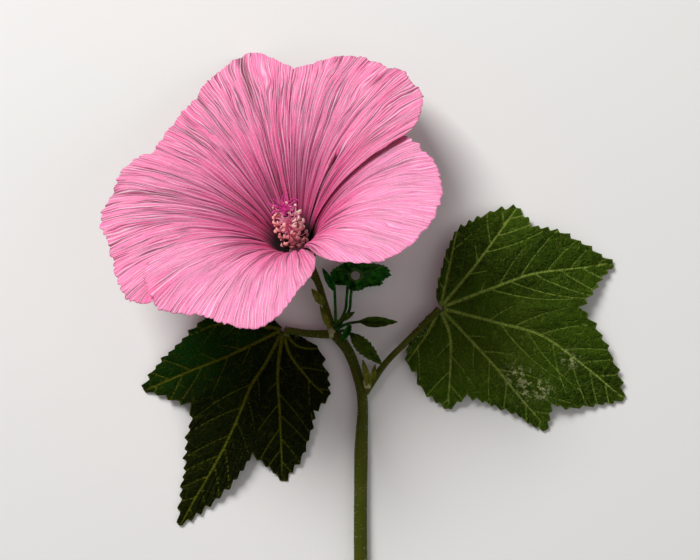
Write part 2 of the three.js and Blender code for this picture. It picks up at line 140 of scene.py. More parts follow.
def tubePoints(path, radii, around, along, bulge=None):
    # points on a closed tube at the turns around and the shares along, both 0 to 1
    cap = 0.02
    t = np.clip((along - cap) / (1 - 2 * cap), 0, 1)
    centre = smoothLine(path, t)
    ahead = smoothLine(path, np.minimum(t + 0.004, 1)) - smoothLine(path, np.maximum(t - 0.004, 0))
    ahead /= np.linalg.norm(ahead, axis=1)[:, None]
    side = np.cross(ahead, [0.0, 0.05, 1.0])
    side /= np.linalg.norm(side, axis=1)[:, None]
    up = np.cross(side, ahead)
    radius = np.interp(t, np.linspace(0, 1, len(radii)), radii)
    if bulge:
        radius = radius + bulge(around * 360, t)
    radius = radius * np.clip(np.minimum(along, 1 - along) / cap, 0, 1)
    angle = around * 2 * math.pi
    return centre + radius[:, None] * (np.cos(angle)[:, None] * side + np.sin(angle)[:, None] * up)


def tubePiece(name, path, radii, sides, rows, bulge=None):
    def place(u, v):
        return tubePoints(path, radii, u, v, bulge), np.stack([u, v], axis=1), {}
    return sheetPiece(name, sides, rows, place, closed=True)


def joinPieces(name, pieces):
    deselectAll()
    for piece in pieces:
        piece.select_set(True)
    bpy.context.view_layer.objects.active = pieces[0]
    bpy.ops.object.join()
    pieces[0].name = name
    pieces[0].data.name = name
    return pieces[0]


def copiesPiece(name, model, places):
    # one mesh of many copies of a model, each place a 4 by 4 matrix in millimetres
    flat = np.empty(3 * len(model.data.vertices))
    model.data.vertices.foreach_get("co", flat)
    points = np.c_[flat.reshape(-1, 3), np.ones(len(model.data.vertices))]
    faces = [tuple(polygon.vertices) for polygon in model.data.polygons]
    allPoints = []
    allFaces = []
    for k, matrix in enumerate(places):
        allPoints.append(toFrame((points @ np.asarray(matrix).T)[:, :3]))
        allFaces.extend(tuple(i + k * len(points) for i in face) for face in faces)
    mesh = bpy.data.meshes.new(name)
    mesh.from_pydata(np.vstack(allPoints).tolist(), [], allFaces)
    mesh.shade_smooth()
    piece = bpy.data.objects.new(name, mesh)
    bpy.context.collection.objects.link(piece)
    bpy.data.objects.remove(model)
    return piece


def finishPiece(piece, material, slot, *nodes):
    piece.data.materials.clear()
    piece.data.materials.append(material)
    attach(piece, "root")
    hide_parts(*nodes)


class Nodes:
    # short ways to add and join shader nodes, in a new material or in a group's tree
    def __init__(self, name, tree=None):
        self.tree = tree
        if tree is None:
            self.material = bpy.data.materials.new(name)
            self.material.use_nodes = True
            self.tree = self.material.node_tree
            self.shader = self.tree.nodes["Principled BSDF"]

    def add(self, kind, **settings):
        node = self.tree.nodes.new(kind)
        for name, value in settings.items():
            setattr(node, name, value)
        return node

    def link(self, source, target):
        if isinstance(source, (int, float)):
            target.default_value = source
        elif isinstance(source, tuple):
            target.default_value = (*source, 1.0) if len(target.default_value) == 4 else source
        else:
            self.tree.links.new(source, target)

    def value(self, operation, a, b=0.0, c=0.0, clamp=False):
        node = self.add("ShaderNodeMath", operation=operation, use_clamp=clamp)
        for k, source in enumerate((a, b, c)):
            self.link(source, node.inputs[k])
        return node.outputs[0]

    def blend(self, amount, a, b, mode="MIX"):
        node = self.add("ShaderNodeMix", data_type="RGBA", blend_type=mode)
        self.link(amount, node.inputs[0])
        self.link(a, node.inputs[6])
        self.link(b, node.inputs[7])
        return node.outputs[2]

    def between(self, source, low, high, toLow=0.0, toHigh=1.0):
        node = self.add("ShaderNodeMapRange", interpolation_type="SMOOTHSTEP")
        self.link(source, node.inputs["Value"])
        for name, setting in (("From Min", low), ("From Max", high), ("To Min", toLow), ("To Max", toHigh)):
            node.inputs[name].default_value = setting
        return node.outputs[0]

    def attribute(self, name):
        return self.add("ShaderNodeAttribute", attribute_name=name).outputs["Fac"]

    def patternMap(self, name="pattern"):
        return self.add("ShaderNodeUVMap", uv_map=name).outputs[0]

    def objectMap(self):
        return self.add("ShaderNodeTexCoord").outputs["Object"]

    def scaled(self, vector, scale, shift=(0.0, 0.0, 0.0)):
        node = self.add("ShaderNodeMapping")
        self.link(vector, node.inputs["Vector"])
        node.inputs["Scale"].default_value = scale
        node.inputs["Location"].default_value = shift
        return node.outputs[0]

    def noise(self, vector, scale=1.0, detail=3.0, roughness=0.55):
        node = self.add("ShaderNodeTexNoise")
        self.link(vector, node.inputs["Vector"])
        node.inputs["Scale"].default_value = scale
        node.inputs["Detail"].default_value = detail
        node.inputs["Roughness"].default_value = roughness
        return node.outputs["Fac"]

    def group(self, tree, **settings):
        node = self.add("ShaderNodeGroup", node_tree=tree)
        for name, setting in settings.items():
            self.link(setting, node.inputs[name])
        return node.outputs[0]

    def cells(self, vector, scale):
        node = self.add("ShaderNodeTexVoronoi", feature="DISTANCE_TO_EDGE")
        self.link(vector, node.inputs["Vector"])
        node.inputs["Scale"].default_value = scale
        return node.outputs["Distance"]

    def parts(self, vector):
        node = self.add("ShaderNodeSeparateXYZ")
        self.link(vector, node.inputs[0])
        return node.outputs

    def bump(self, height, distance, strength=1.0):
        node = self.add("ShaderNodeBump")
        self.link(height, node.inputs["Height"])
        node.inputs["Distance"].default_value = distance
        node.inputs["Strength"].default_value = strength
        self.link(node.outputs[0], self.shader.inputs["Normal"])

    def finish(self, color, roughness, **fixed):
        self.link(color, self.shader.inputs["Base Color"])
        self.link(roughness, self.shader.inputs["Roughness"])
        for name, setting in fixed.items():
            self.shader.inputs[name.replace("_", " ")].default_value = setting
        return self.material


def makeGroup(name, inputs, build):
    # an effect that several materials place, with one mask as its output
    tree = bpy.data.node_groups.new(name, "ShaderNodeTree")
    for key, kind in inputs.items():
        tree.interface.new_socket(name=key, in_out="INPUT", socket_type=kind)
    tree.interface.new_socket(name="Mask", in_out="OUTPUT", socket_type="NodeSocketFloat")
    n = Nodes(name, tree)
    entry = n.add("NodeGroupInput")
    n.link(build(n, entry.outputs), n.add("NodeGroupOutput").inputs["Mask"])
    return tree


def grainMask(n, entry):
    # fine skin grain as a mask from 0 to 1
    noise = n.noise(entry["Place"], detail=3.0, roughness=0.62)
    n.link(entry["Scale"], noise.node.inputs["Scale"])
    return n.between(noise, 0.34, 0.68)


def veinMask(n, entry):
    # thin lines, evenly spaced across the first axis, that fade in and out along the second
    spread = n.add("ShaderNodeVectorMath", operation="MULTIPLY")
    n.link(entry["Place"], spread.inputs[0])
    n.link(entry["Lines"], spread.inputs[1])
    across = n.parts(spread.outputs[0])[0]
    away = n.value("PINGPONG", across, 0.5)
    line = n.value("SUBTRACT", 1.0, n.value("DIVIDE", away, entry["Width"]), clamp=True)
    return n.value("MULTIPLY", line, n.between(n.noise(spread.outputs[0], 0.8, 1.0), 0.32, 0.62, 0.15, 1.0))


skinGrain = makeGroup("skinGrain", {"Place": "NodeSocketVector", "Scale": "NodeSocketFloat"}, grainMask)
fineLines = makeGroup(
    "fineLines",
    {"Place": "NodeSocketVector", "Lines": "NodeSocketVector", "Width": "NodeSocketFloat"},
    veinMask)

petalColors = {
    "light": (0.97, 0.185, 0.41),
    "pink": (0.80, 0.090, 0.29),
    # line: the colour of the painted shade in the valleys of the grooves, far out on the petals
    "line": (0.13, 0.003, 0.026),
    # fold: the colour of the painted shade along the creases
    "fold": (0.20, 0.004, 0.045),
    "hot": (0.78, 0.030, 0.21),
    # mauveShade: the grey-mauve colour of the painted shade in the throat and where one petal shades the next
    "mauveShade": (0.34, 0.085, 0.18),
    # throat: the colour of the same painted groove shade near the throat
    "throat": (0.040, 0.001, 0.009),
    "deepShade": (0.022, 0.001, 0.008),
    "vein": (1.0, 0.66, 0.80),
    "innerVein": (0.92, 0.40, 0.60),
    # rim: the lighter pink of the painted light on the petals that face the light
    "rim": (1.0, 0.27, 0.53),
}


def petalMaterial():
    # pattern map: u is the turn round the flower in tens of degrees, v the reach in centimetres
    n = Nodes("petalPink")
    spread = n.patternMap()
    reach = n.parts(spread)[1]
    paintedLight = n.attribute("paintedLight")
    drift = n.noise(n.scaled(spread, (0.9, 0.5, 1.0)), 1.0, 1.0)
    wander = n.add("ShaderNodeCombineXYZ")
    ripple = n.noise(n.scaled(spread, (3.5, 1.4, 1.0)), 1.0, 1.0)
    sway = n.value("ADD", n.value("MULTIPLY", n.value("SUBTRACT", drift, 0.5), 0.6),
                   n.value("MULTIPLY", n.value("SUBTRACT", ripple, 0.5), 0.14))
    n.link(sway, wander.inputs[0])
    bent = n.add("ShaderNodeVectorMath", operation="ADD")
    n.link(spread, bent.inputs[0])
    n.link(wander.outputs[0], bent.inputs[1])
    bent = bent.outputs[0]
    inner = n.group(fineLines, Place=bent, Lines=(2.0, 0.5, 1.0), Width=0.24)
    middle = n.group(fineLines, Place=bent, Lines=(4.0, 0.7, 1.0), Width=0.26)
    outer = n.group(fineLines, Place=bent, Lines=(8.0, 1.0, 1.0), Width=0.30)
    net = n.group(fineLines, Place=bent, Lines=(16.0, 2.4, 1.0), Width=0.34)
    veins = n.blend(n.between(reach, 1.2, 2.2), inner, middle)
    veins = n.blend(n.between(reach, 2.8, 4.0), veins, outer)
    veins = n.value("MAXIMUM", veins, n.value("MULTIPLY", net, n.between(reach, 1.6, 3.6, 0.25, 0.6)))
    grooves = n.noise(n.scaled(bent, (6.6, 0.20, 1.0), (3.0, 0.0, 0.0)), 1.0, 2.0, 0.7)
    furrows = n.noise(n.scaled(bent, (15.0, 0.6, 1.0), (7.0, 0.0, 0.0)), 1.0, 2.0, 0.7)
    grooves = n.blend(n.between(reach, 1.8, 4.0), grooves, furrows)
    grooves = n.value("ADD", grooves, n.value("MULTIPLY", n.attribute("pleat"), 0.05))
    # painted shade: darker in the valleys of the grooves, weaker far out and on the petals painted as lit
    dark = n.between(grooves, 0.485, 0.41)
    grain = n.group(skinGrain, Place=n.objectMap(), Scale=1500.0)
    body = n.blend(n.between(reach, 1.4, 5.0), petalColors["pink"], petalColors["light"])
    # painted light: the petals that face the light turn toward the rim colour, and their painted groove shade
    # is weaker
    body = n.blend(n.value("MULTIPLY", paintedLight, 0.85, clamp=True), body, petalColors["rim"])
    body = n.blend(n.value("MULTIPLY", n.attribute("hot"), 0.9), body, petalColors["hot"])
    # painted shade: a grey-mauve wash over the shaded parts of the throat and the petal edges lying in shade
    body = n.blend(n.value("MULTIPLY", n.attribute("mauveShade"), 0.85), body, petalColors["mauveShade"])
    shadeColor = n.blend(n.between(reach, 0.8, 3.4), petalColors["throat"], petalColors["line"])
    calm = n.value("SUBTRACT", 1.0, n.value("MULTIPLY", paintedLight, 0.62))
    depth = n.value("MULTIPLY", n.value("MULTIPLY", dark, calm), n.between(reach, 2.0, 5.6, 1.0, 0.86))
    color = n.blend(depth, body, shadeColor)
    color = n.blend(n.value("MULTIPLY", grain, 0.16), color, shadeColor)
    # painted shade along the creases, from the shade attribute
    color = n.blend(n.between(n.attribute("shade"), 0.0, 1.0, 0.0, 0.95), color, petalColors["fold"])
    color = n.blend(n.value("MULTIPLY", veins, n.between(reach, 0.6, 2.6, 0.50, 0.80)), color,
                    n.blend(n.between(reach, 1.2, 4.0), petalColors["innerVein"], petalColors["vein"]))
    # painted shade at the bottom of the throat
    color = n.blend(n.between(reach, 1.3, 0.5), color, petalColors["deepShade"])
    n.bump(n.value("ADD", n.value("MULTIPLY", veins, 0.7),
                   n.value("ADD", grooves, n.value("MULTIPLY", grain, 0.2))),
           0.00035, 0.8)
    return n.finish(color, n.between(grooves, 0.4, 0.6, 0.75, 0.6),
                    Sheen_Weight=0.04, Specular_IOR_Level=0.15)


leafTones = {
    "rightLeaf": {
        "dark": (0.0060, 0.018, 0.0006), "mid": (0.026, 0.058, 0.0016), "light": (0.070, 0.115, 0.006),
        "vein": (0.19, 0.26, 0.040), "scar": (0.36, 0.38, 0.17), "pale": (0.085, 0.125, 0.008),
    },
    # the left leaf's tones are far darker than the right leaf's: painted shade over the whole left leaf
    "leftLeaf": {
        "dark": (0.0016, 0.0032, 0.0002), "mid": (0.0050, 0.0085, 0.0004), "light": (0.013, 0.018, 0.0008),
        "vein": (0.085, 0.092, 0.005), "scar": (0.02, 0.05, 0.003), "pale": (0.0030, 0.050, 0.0020),
    },
}


def leafMaterial(name, tones):
    n = Nodes(name)
    place = n.objectMap()
    grain = n.group(skinGrain, Place=place, Scale=900.0)
    warp = n.add("ShaderNodeVectorMath", operation="ADD")
    stir = n.add("ShaderNodeTexNoise")
    n.link(place, stir.inputs["Vector"])
    stir.inputs["Scale"].default_value = 300.0
    shrink = n.add("ShaderNodeVectorMath", operation="SCALE")
    n.link(stir.outputs["Color"], shrink.inputs[0])
    shrink.inputs["Scale"].default_value = 0.0028
    n.link(place, warp.inputs[0])
    n.link(shrink.outputs[0], warp.inputs[1])
    netCoarse = n.between(n.cells(warp.outputs[0], 380.0), 0.0, 0.09, 1.0, 0.0)
    netFine = n.between(n.cells(warp.outputs[0], 1000.0), 0.0, 0.16, 1.0, 0.0)
    color = n.blend(n.between(n.noise(place, 55.0, 3.0), 0.35, 0.68), tones["dark"], tones["mid"])
    color = n.blend(n.attribute("pale"), color, tones["pale"])
    color = n.blend(n.value("MULTIPLY", grain, 0.35), color, tones["light"])
    color = n.blend(n.value("MULTIPLY", netFine, 0.25), color, tones["light"])
    color = n.blend(n.value("MULTIPLY", netCoarse, 0.16), color, tones["vein"])
    color = n.blend(n.between(n.attribute("vein"), 0.18, 0.85), color, tones["vein"])
    color = n.blend(n.value("MULTIPLY", n.attribute("edge"), 0.6), color, tones["vein"])
    flecks = n.between(n.noise(place, 620.0, 3.0, 0.7), 0.50, 0.60)
    color = n.blend(n.value("MULTIPLY", n.attribute("scar"), flecks), color, tones["scar"])
    height = n.value("SUBTRACT", n.value("MULTIPLY", grain, 0.3), n.value("MULTIPLY", netCoarse, 0.75))
    height = n.value("SUBTRACT", height, n.value("MULTIPLY", netFine, 0.35))
    n.bump(height, 0.0004, 1.0)
    return n.finish(color, n.between(grain, 0.0, 1.0, 0.65, 0.85), Specular_IOR_Level=0.04)


def greenMaterial(name, dark, light, rib, ribs=9.0, lift=0.5):
    # young leaves, sepals and stipules: midrib and side veins along the pattern map
    n = Nodes(name)
    spread = n.patternMap()
    u, v = n.parts(spread)[0], n.parts(spread)[1]
    fromMiddle = n.value("ABSOLUTE", n.value("SUBTRACT", u, 0.5))
    slant = n.value("SUBTRACT", n.value("MULTIPLY", v, ribs), n.value("MULTIPLY", fromMiddle, ribs * 0.9))
    wave = n.value("ABSOLUTE", n.value("SUBTRACT", n.value("FRACT", slant), 0.5))
    side = n.between(wave, 0.0, 0.12, 1.0, 0.0)
    middle = n.between(fromMiddle, 0.0, 0.045, 1.0, 0.0)
    veins = n.value("MAXIMUM", n.value("MULTIPLY", side, 0.55), middle)
    place = n.objectMap()
    grain = n.group(skinGrain, Place=place, Scale=700.0)
    color = n.blend(grain, dark, light)
    color = n.blend(n.value("MULTIPLY", veins, lift), color, rib)
    n.bump(n.value("SUBTRACT", n.value("MULTIPLY", grain, 0.5), veins), 0.00025, 0.8)
    color = n.blend(n.attribute("pale"), color, (0.42, 0.42, 0.22))
    return n.finish(color, n.between(grain, 0.0, 1.0, 0.45, 0.65), Specular_IOR_Level=0.10)


def stemMaterial():
    n = Nodes("stemGreen")
    spread = n.patternMap()
    lines = n.group(fineLines, Place=spread, Lines=(26.0, 3.0, 1.0), Width=0.16)
    blotch = n.noise(n.objectMap(), 140.0, 3.0)
    color = n.blend(lines, (0.048, 0.058, 0.001), (0.13, 0.155, 0.004))
    color = n.blend(n.value("MULTIPLY", n.between(blotch, 0.5, 0.72), 0.4), color, (0.11, 0.12, 0.015))
    color = n.blend(n.attribute("pale"), color, (0.42, 0.42, 0.22))
    n.bump(lines, 0.0002, 0.7)
    return n.finish(color, 0.55, Specular_IOR_Level=0.12)


def plainMaterial(name, first, second, scale, roughness, sheen=0.0, blush=(0.60, 0.12, 0.20)):
    n = Nodes(name)
    speckle = n.group(skinGrain, Place=n.objectMap(), Scale=scale)
    color = n.blend(speckle, first, second)
    n.bump(speckle, 0.0001, 0.6)
    color = n.blend(n.attribute("blush"), color, blush)
    return n.finish(color, roughness, Sheen_Weight=sheen, Specular_IOR_Level=0.2)


petalPink = petalMaterial()
rightLeafGreen = leafMaterial("rightLeafGreen", leafTones["rightLeaf"])
leftLeafGreen = leafMaterial("leftLeafGreen", leafTones["leftLeaf"])
youngGreen = greenMaterial("youngGreen", (0.016, 0.040, 0.001), (0.060, 0.110, 0.003), (0.20, 0.28, 0.020))
freshGreen = greenMaterial("freshGreen", (0.0015, 0.030, 0.001), (0.014, 0.150, 0.005), (0.12, 0.45, 0.012))
calyxGreen = greenMaterial("calyxGreen", (0.05, 0.075, 0.01), (0.13, 0.16, 0.03), (0.30, 0.30, 0.12))
stipuleGreen = greenMaterial(
    "stipuleGreen", (0.070, 0.085, 0.004), (0.17, 0.18, 0.015), (0.36, 0.33, 0.10), 3.0)
stemGreen = stemMaterial()
antherCream = plainMaterial(
    "antherCream", (0.86, 0.62, 0.52), (0.97, 0.86, 0.74), 1600.0, 0.75, 0.0, (0.95, 0.40, 0.38))
filamentPink = plainMaterial("filamentPink", (0.84, 0.24, 0.42), (0.95, 0.46, 0.60), 900.0, 0.5)
stigmaMagenta = plainMaterial("stigmaMagenta", (0.42, 0.012, 0.16), (0.72, 0.08, 0.36), 1200.0, 0.45)
hairWhite = plainMaterial("hairWhite", (0.55, 0.58, 0.42), (0.75, 0.78, 0.62), 500.0, 0.6)
print("materials ready")


flower = {
    "base": (-14.1, 7.5, 8.8), "tilt": 38, "heading": 107, "baseRadius": 3.0, "throat": 24,
    "straight": 6, "fullReach": 54, "flareSpread": 34, "waveHeight": 0.9,
}
petals = {
    "petal_upper_left": {
        "middle": 110, "flare": 93, "over": 0.004, "under": 0.016,
        "rim": [(153, 45), (145, 48.5), (138, 49), (123, 49), (112, 50.5), (101, 55), (87, 60.5), (79, 56.5),
                (71, 51)],
    },
    "petal_upper_right": {
        "middle": 40, "flare": 93, "over": 0.026, "under": 0.004,
        "rim": [(84, 46), (71, 51), (60, 52.5), (50, 57), (37, 58.8), (23, 57), (12, 53), (5, 47), (3.5, 40)],
    },
    "petal_right": {
        "middle": -31, "flare": 98, "over": 0.020, "under": 0.020,
        "rim": [(16, 41), (3, 47), (-15, 52), (-30, 53.2), (-45, 52.2), (-58, 49), (-67, 42.5), (-73, 36.5),
                (-77, 30)],
    },
    "petal_bottom": {
        "middle": -124, "flare": 104, "over": 0.024, "under": 0.020,
        "rim": [(-76, 25), (-81, 34), (-91, 40.5), (-101, 48), (-111, 51), (-133, 50.5), (-143, 54),
                (-152, 52), (-161, 48.5), (-165, 41)],
    },
    "petal_left": {
        "middle": -183, "flare": 97, "over": 0.020, "under": 0.020,
        "rim": [(-144, 48), (-152, 56), (-164, 57.5), (-176, 55.5), (-188, 56.5), (-200, 54), (-211, 52),
                (-218, 49), (-220, 43)],
    },
}

tilt = math.radians(flower["tilt"])
heading = math.radians(flower["heading"])
axis = np.array([math.sin(tilt) * math.cos(heading), math.sin(tilt) * math.sin(heading), math.cos(tilt)])
sideways = np.array([math.sin(heading), -math.cos(heading), 0])
upwards = np.cross(axis, sideways)
flowerBase = np.array(flower["base"])


def aboutAxis(azimuth, radius, height):
    angle = np.radians(np.asarray(azimuth, float))[..., None]
    out = np.cos(angle) * sideways + np.sin(angle) * upwards
    return flowerBase + np.asarray(height)[..., None] * axis + np.asarray(radius)[..., None] * out


def flareAt(azimuth):
    total = 0
    weight = 0
    for petal in petals.values():
        away = (azimuth - petal["middle"] + 180) % 360 - 180
        share = np.exp(-(away / flower["flareSpread"]) ** 2)
        total = total + share * petal["flare"]
        weight = weight + share
    return np.radians(total / weight)


def pleatAt(azimuth, reach):
    # ribs that fan out from the throat: broad folds low down, fine ribs further out
    drift = azimuth + 1.6 * np.sin(np.radians(5 * azimuth) + reach / 9)
    folds = ringNoise(drift, 58, 3, ribs=True)
    ribs = mix(ringNoise(drift, 132, 7, ribs=True), ringNoise(drift, 150, 8, ribs=True),
               rampUp(20, 45, reach))
    return folds, ribs


def onFunnel(azimuth, reach, lift=0.0, pleated=True):
    start = math.radians(flower["throat"])
    bend = (flareAt(azimuth) - start) / (flower["fullReach"] - flower["straight"])
    angle = start + bend * np.maximum(reach - flower["straight"], 0)
    straight = np.minimum(reach, flower["straight"])
    radius = flower["baseRadius"] + math.sin(start) * straight + (math.cos(start) - np.cos(angle)) / bend
    height = math.cos(start) * straight + (np.sin(angle) - math.sin(start)) / bend
    turns = np.radians(azimuth)
    raised = lift + flower["waveHeight"] * (reach / flower["fullReach"]) ** 2 * (
        np.sin(7 * turns + math.radians(40)) + 0.6 * np.sin(12 * turns + math.radians(100)))
    if pleated:
        folds, ribs = pleatAt(azimuth, reach)
        raised = raised + 0.42 * folds * rampUp(5, 13, reach) * (1 - 0.72 * rampUp(22, 46, reach))
        raised = raised + 0.13 * ribs * rampUp(12, 26, reach)
    return aboutAxis(azimuth, radius - np.cos(angle) * raised, height + np.sin(angle) * raised)


petalLook = {
    "columns": 300, "rows": 96, "thickness": 0.2, "frill": 0.22, "clawHalfWidth": 30, "leanAtBase": 0.1,
}
# each crease's darkness is painted shade along its fold; the one at -6 is the painted shadow of the upper
# right petal's edge on the right petal
creases = [  # turn, half-width, depth in mm, darkness, from which reach to which
    (89.5, 1.5, 0.70, 1.00, 36, 66), (87, 1.1, 0.50, 0.85, 6, 44), (83, 0.8, 0.30, 0.60, 6, 34),
    (94, 0.9, 0.35, 0.65, 6, 30), (101, 1.0, 0.40, 0.75, 6, 32), (110, 1.3, 0.45, 0.75, 30, 58),
    (117, 1.0, 0.45, 0.80, 8, 36), (108, 0.8, 0.30, 0.60, 6, 30), (126, 0.8, 0.30, 0.55, 10, 34),
    (134, 0.9, 0.30, 0.60, 8, 36), (69, 0.8, 0.25, 0.70, 6, 36), (64, 0.7, 0.30, 0.65, 5, 30),
    (58, 0.7, 0.30, 0.65, 5, 34), (52, 0.8, 0.35, 0.65, 8, 44), (46, 0.8, 0.40, 0.70, 6, 36),
    (40, 0.7, 0.30, 0.60, 6, 34), (33, 1.0, 0.50, 0.70, 18, 48), (37, 1.3, 0.50, 0.60, 44, 64),
    (27, 0.9, 0.35, 0.65, 6, 34), (20, 0.8, 0.30, 0.55, 8, 38), (161, 1.6, 0.40, 0.75, 30, 62),
    (156, 1.2, 0.35, 0.70, 8, 40), (166, 0.9, 0.30, 0.55, 16, 48), (178, 1.3, 0.35, 0.65, 26, 62),
    (172, 0.8, 0.30, 0.50, 10, 36), (146, 1.2, 0.35, 0.75, 6, 34), (-172, 1.0, 0.25, 0.40, 10, 44),
    (-162, 1.0, 0.25, 0.40, 6, 30), (-150, 1.2, 0.30, 0.35, 34, 56), (-140, 1.1, 0.30, 0.35, 14, 44),
    (-120, 0.9, 0.20, 0.30, 8, 26), (-105, 0.9, 0.20, 0.30, 8, 24), (-90, 1.6, 0.20, 0.30, 18, 46),
    (-6, 1.3, 0.35, 0.70, 18, 50), (-14, 0.9, 0.25, 0.40, 12, 34), (-24, 0.9, 0.20, 0.30, 10, 30),
]
# the mauveShade washes are painted shade; the hot washes are the petals' own deeper pink
washes = {  # turn, reach, and how far it spreads each way, and how strong it is
    "mauveShade": [(56, 20, 18, 14, 0.75), (108, 15, 22, 9, 0.5), (160, 34, 14, 14, 0.25), (4, 22, 8, 12, 0.4),
              (-124, 6, 60, 4, 0.5), (95, 46, 8, 9, 0.15)],
    "hot": [(77, 28, 5, 18, 0.95), (14, 28, 8, 16, 0.9), (154, 16, 8, 9, 0.7), (-150, 50, 7, 5, 0.6),
            (30, 52, 6, 7, 0.5), (120, 46, 8, 6, 0.35), (-84, 30, 5, 9, 0.5)],
}


def washOf(kind, azimuth, reach):
    total = np.zeros_like(reach)
    for turn, middle, wide, long, much in washes[kind]:
        away = (azimuth - turn + 180) % 360 - 180
        total = total + much * np.exp(-(away / wide) ** 2 - ((reach - middle) / long) ** 2)
    return np.clip(total, 0, 1)


def makePetal(name, petal, paintedLight):
    rim = petal["rim"]
    middle = (rim[0][0] + rim[-1][0]) / 2
    halfWidth = (rim[0][0] - rim[-1][0]) / 2

    def place(u, v):
        edge = smoothLine(rim, u)
        azimuthAtRim = edge[:, 0]
        nibble = 0.4 * ringNoise(azimuthAtRim, 90, 21) + 0.35 * ringNoise(azimuthAtRim, 300, 22)
        nibble = nibble + 0.25 * ringNoise(azimuthAtRim, 520, 23)
        reach = (edge[:, 1] + nibble) * v
        claw = mix(petalLook["clawHalfWidth"] / halfWidth, 1, rampUp(2, 14, reach))
        across = (middle - azimuthAtRim) / halfWidth
        azimuth = middle - across * halfWidth * claw
        frill = petalLook["frill"] * ringNoise(azimuthAtRim, 84, 31) * rampUp(0.8, 1.0, v) ** 2
        lift = across * (petalLook["leanAtBase"]
                         + np.where(across > 0, petal["over"], petal["under"]) * reach) + frill
        shade = np.zeros_like(reach)
        for where, width, depth, darkness, low, high in creases:
            away = (azimuth - where + 180) % 360 - 180
            line = (np.exp(-(away / width) ** 2) * rampUp(low, low + 10, reach)
                    * (1 - rampUp(high - 8, high, reach)))
            lift = lift - depth * line
            shade = shade + darkness * line
        folds, ribs = pleatAt(azimuth, reach)
        pleat = folds * (1 - 0.7 * rampUp(22, 46, reach)) + 0.7 * ribs * rampUp(12, 26, reach)
        glow = paintedLight * rampUp(14, 40, reach)
        patternMap = np.stack([azimuth / 10, reach / 10], axis=1)
        points = onFunnel(azimuth, reach, lift)
        return points, patternMap, {
            "pleat": pleat, "shade": np.clip(shade, 0, 1), "paintedLight": glow,
            "mauveShade": washOf("mauveShade", azimuth, reach), "hot": washOf("hot", azimuth, reach),
        }

    return sheetPiece(name, petalLook["columns"], petalLook["rows"], place, petalLook["thickness"])


# how much painted light each petal gets: the right and bottom petals face the light
petalPaintedLight = {
    "petal_upper_left": 0.10, "petal_upper_right": 0.05, "petal_right": 1.0, "petal_bottom": 0.85,
    "petal_left": 0.15,
}
for petalName, petal in petals.items():
    finishPiece(makePetal(petalName, petal, petalPaintedLight[petalName]), petalPink, "petal", petalName)
print("petals made")


sepals = {"count": 5, "cup": 5, "tip": 15, "offset": 0.85, "spread": 0.07, "thickness": 0.4, "first": 76}
bracts = {"count": 3, "cup": 3.5, "tip": 10, "offset": 1.6, "spread": 0.13, "thickness": 0.4, "first": 30}


def makeCup(name, cup):
    def place(u, v):
        azimuth = cup["first"] + 360 * u
        turnInLobe = (cup["count"] * u) % 1
        fromLobe = np.abs(np.sin(np.radians(cup["count"] * (azimuth - cup["first"]) / 2)))
        reach = mix(cup["tip"], cup["cup"], fromLobe ** 0.75) * v
        keel = 0.25 * np.exp(-(fromLobe / 0.12) ** 2)
        lift = -(cup["offset"] + cup["spread"] * reach + keel * rampUp(1, 4, reach))
        across = (turnInLobe + 0.5) % 1
        return onFunnel(azimuth, reach, lift, pleated=False), np.stack([across, v], axis=1), {}
    piece = sheetPiece(name, 48 * cup["count"], 24, place, closed=True)
    useModifier(piece, "SOLIDIFY", thickness=cup["thickness"] * mm, offset=0.0)
    return piece


finishPiece(makeCup("calyx", sepals), calyxGreen, "calyx", "calyx")
finishPiece(makeCup("epicalyx", bracts), calyxGreen, "calyx", "epicalyx")

column = {
    "profile": [(2.2, -0.3), (2.2, 0.6), (1.25, 3.2), (1.0, 16.2), (0.72, 16.4)],
    "count": 70, "lowest": 4.4, "highest": 15.9, "turnEach": 137.5, "reach": 3.1, "rise": 1.4,
}
pistilShape = {"stigmas": 13, "from": 17.6, "rise": 3.4, "spread": 4.3}


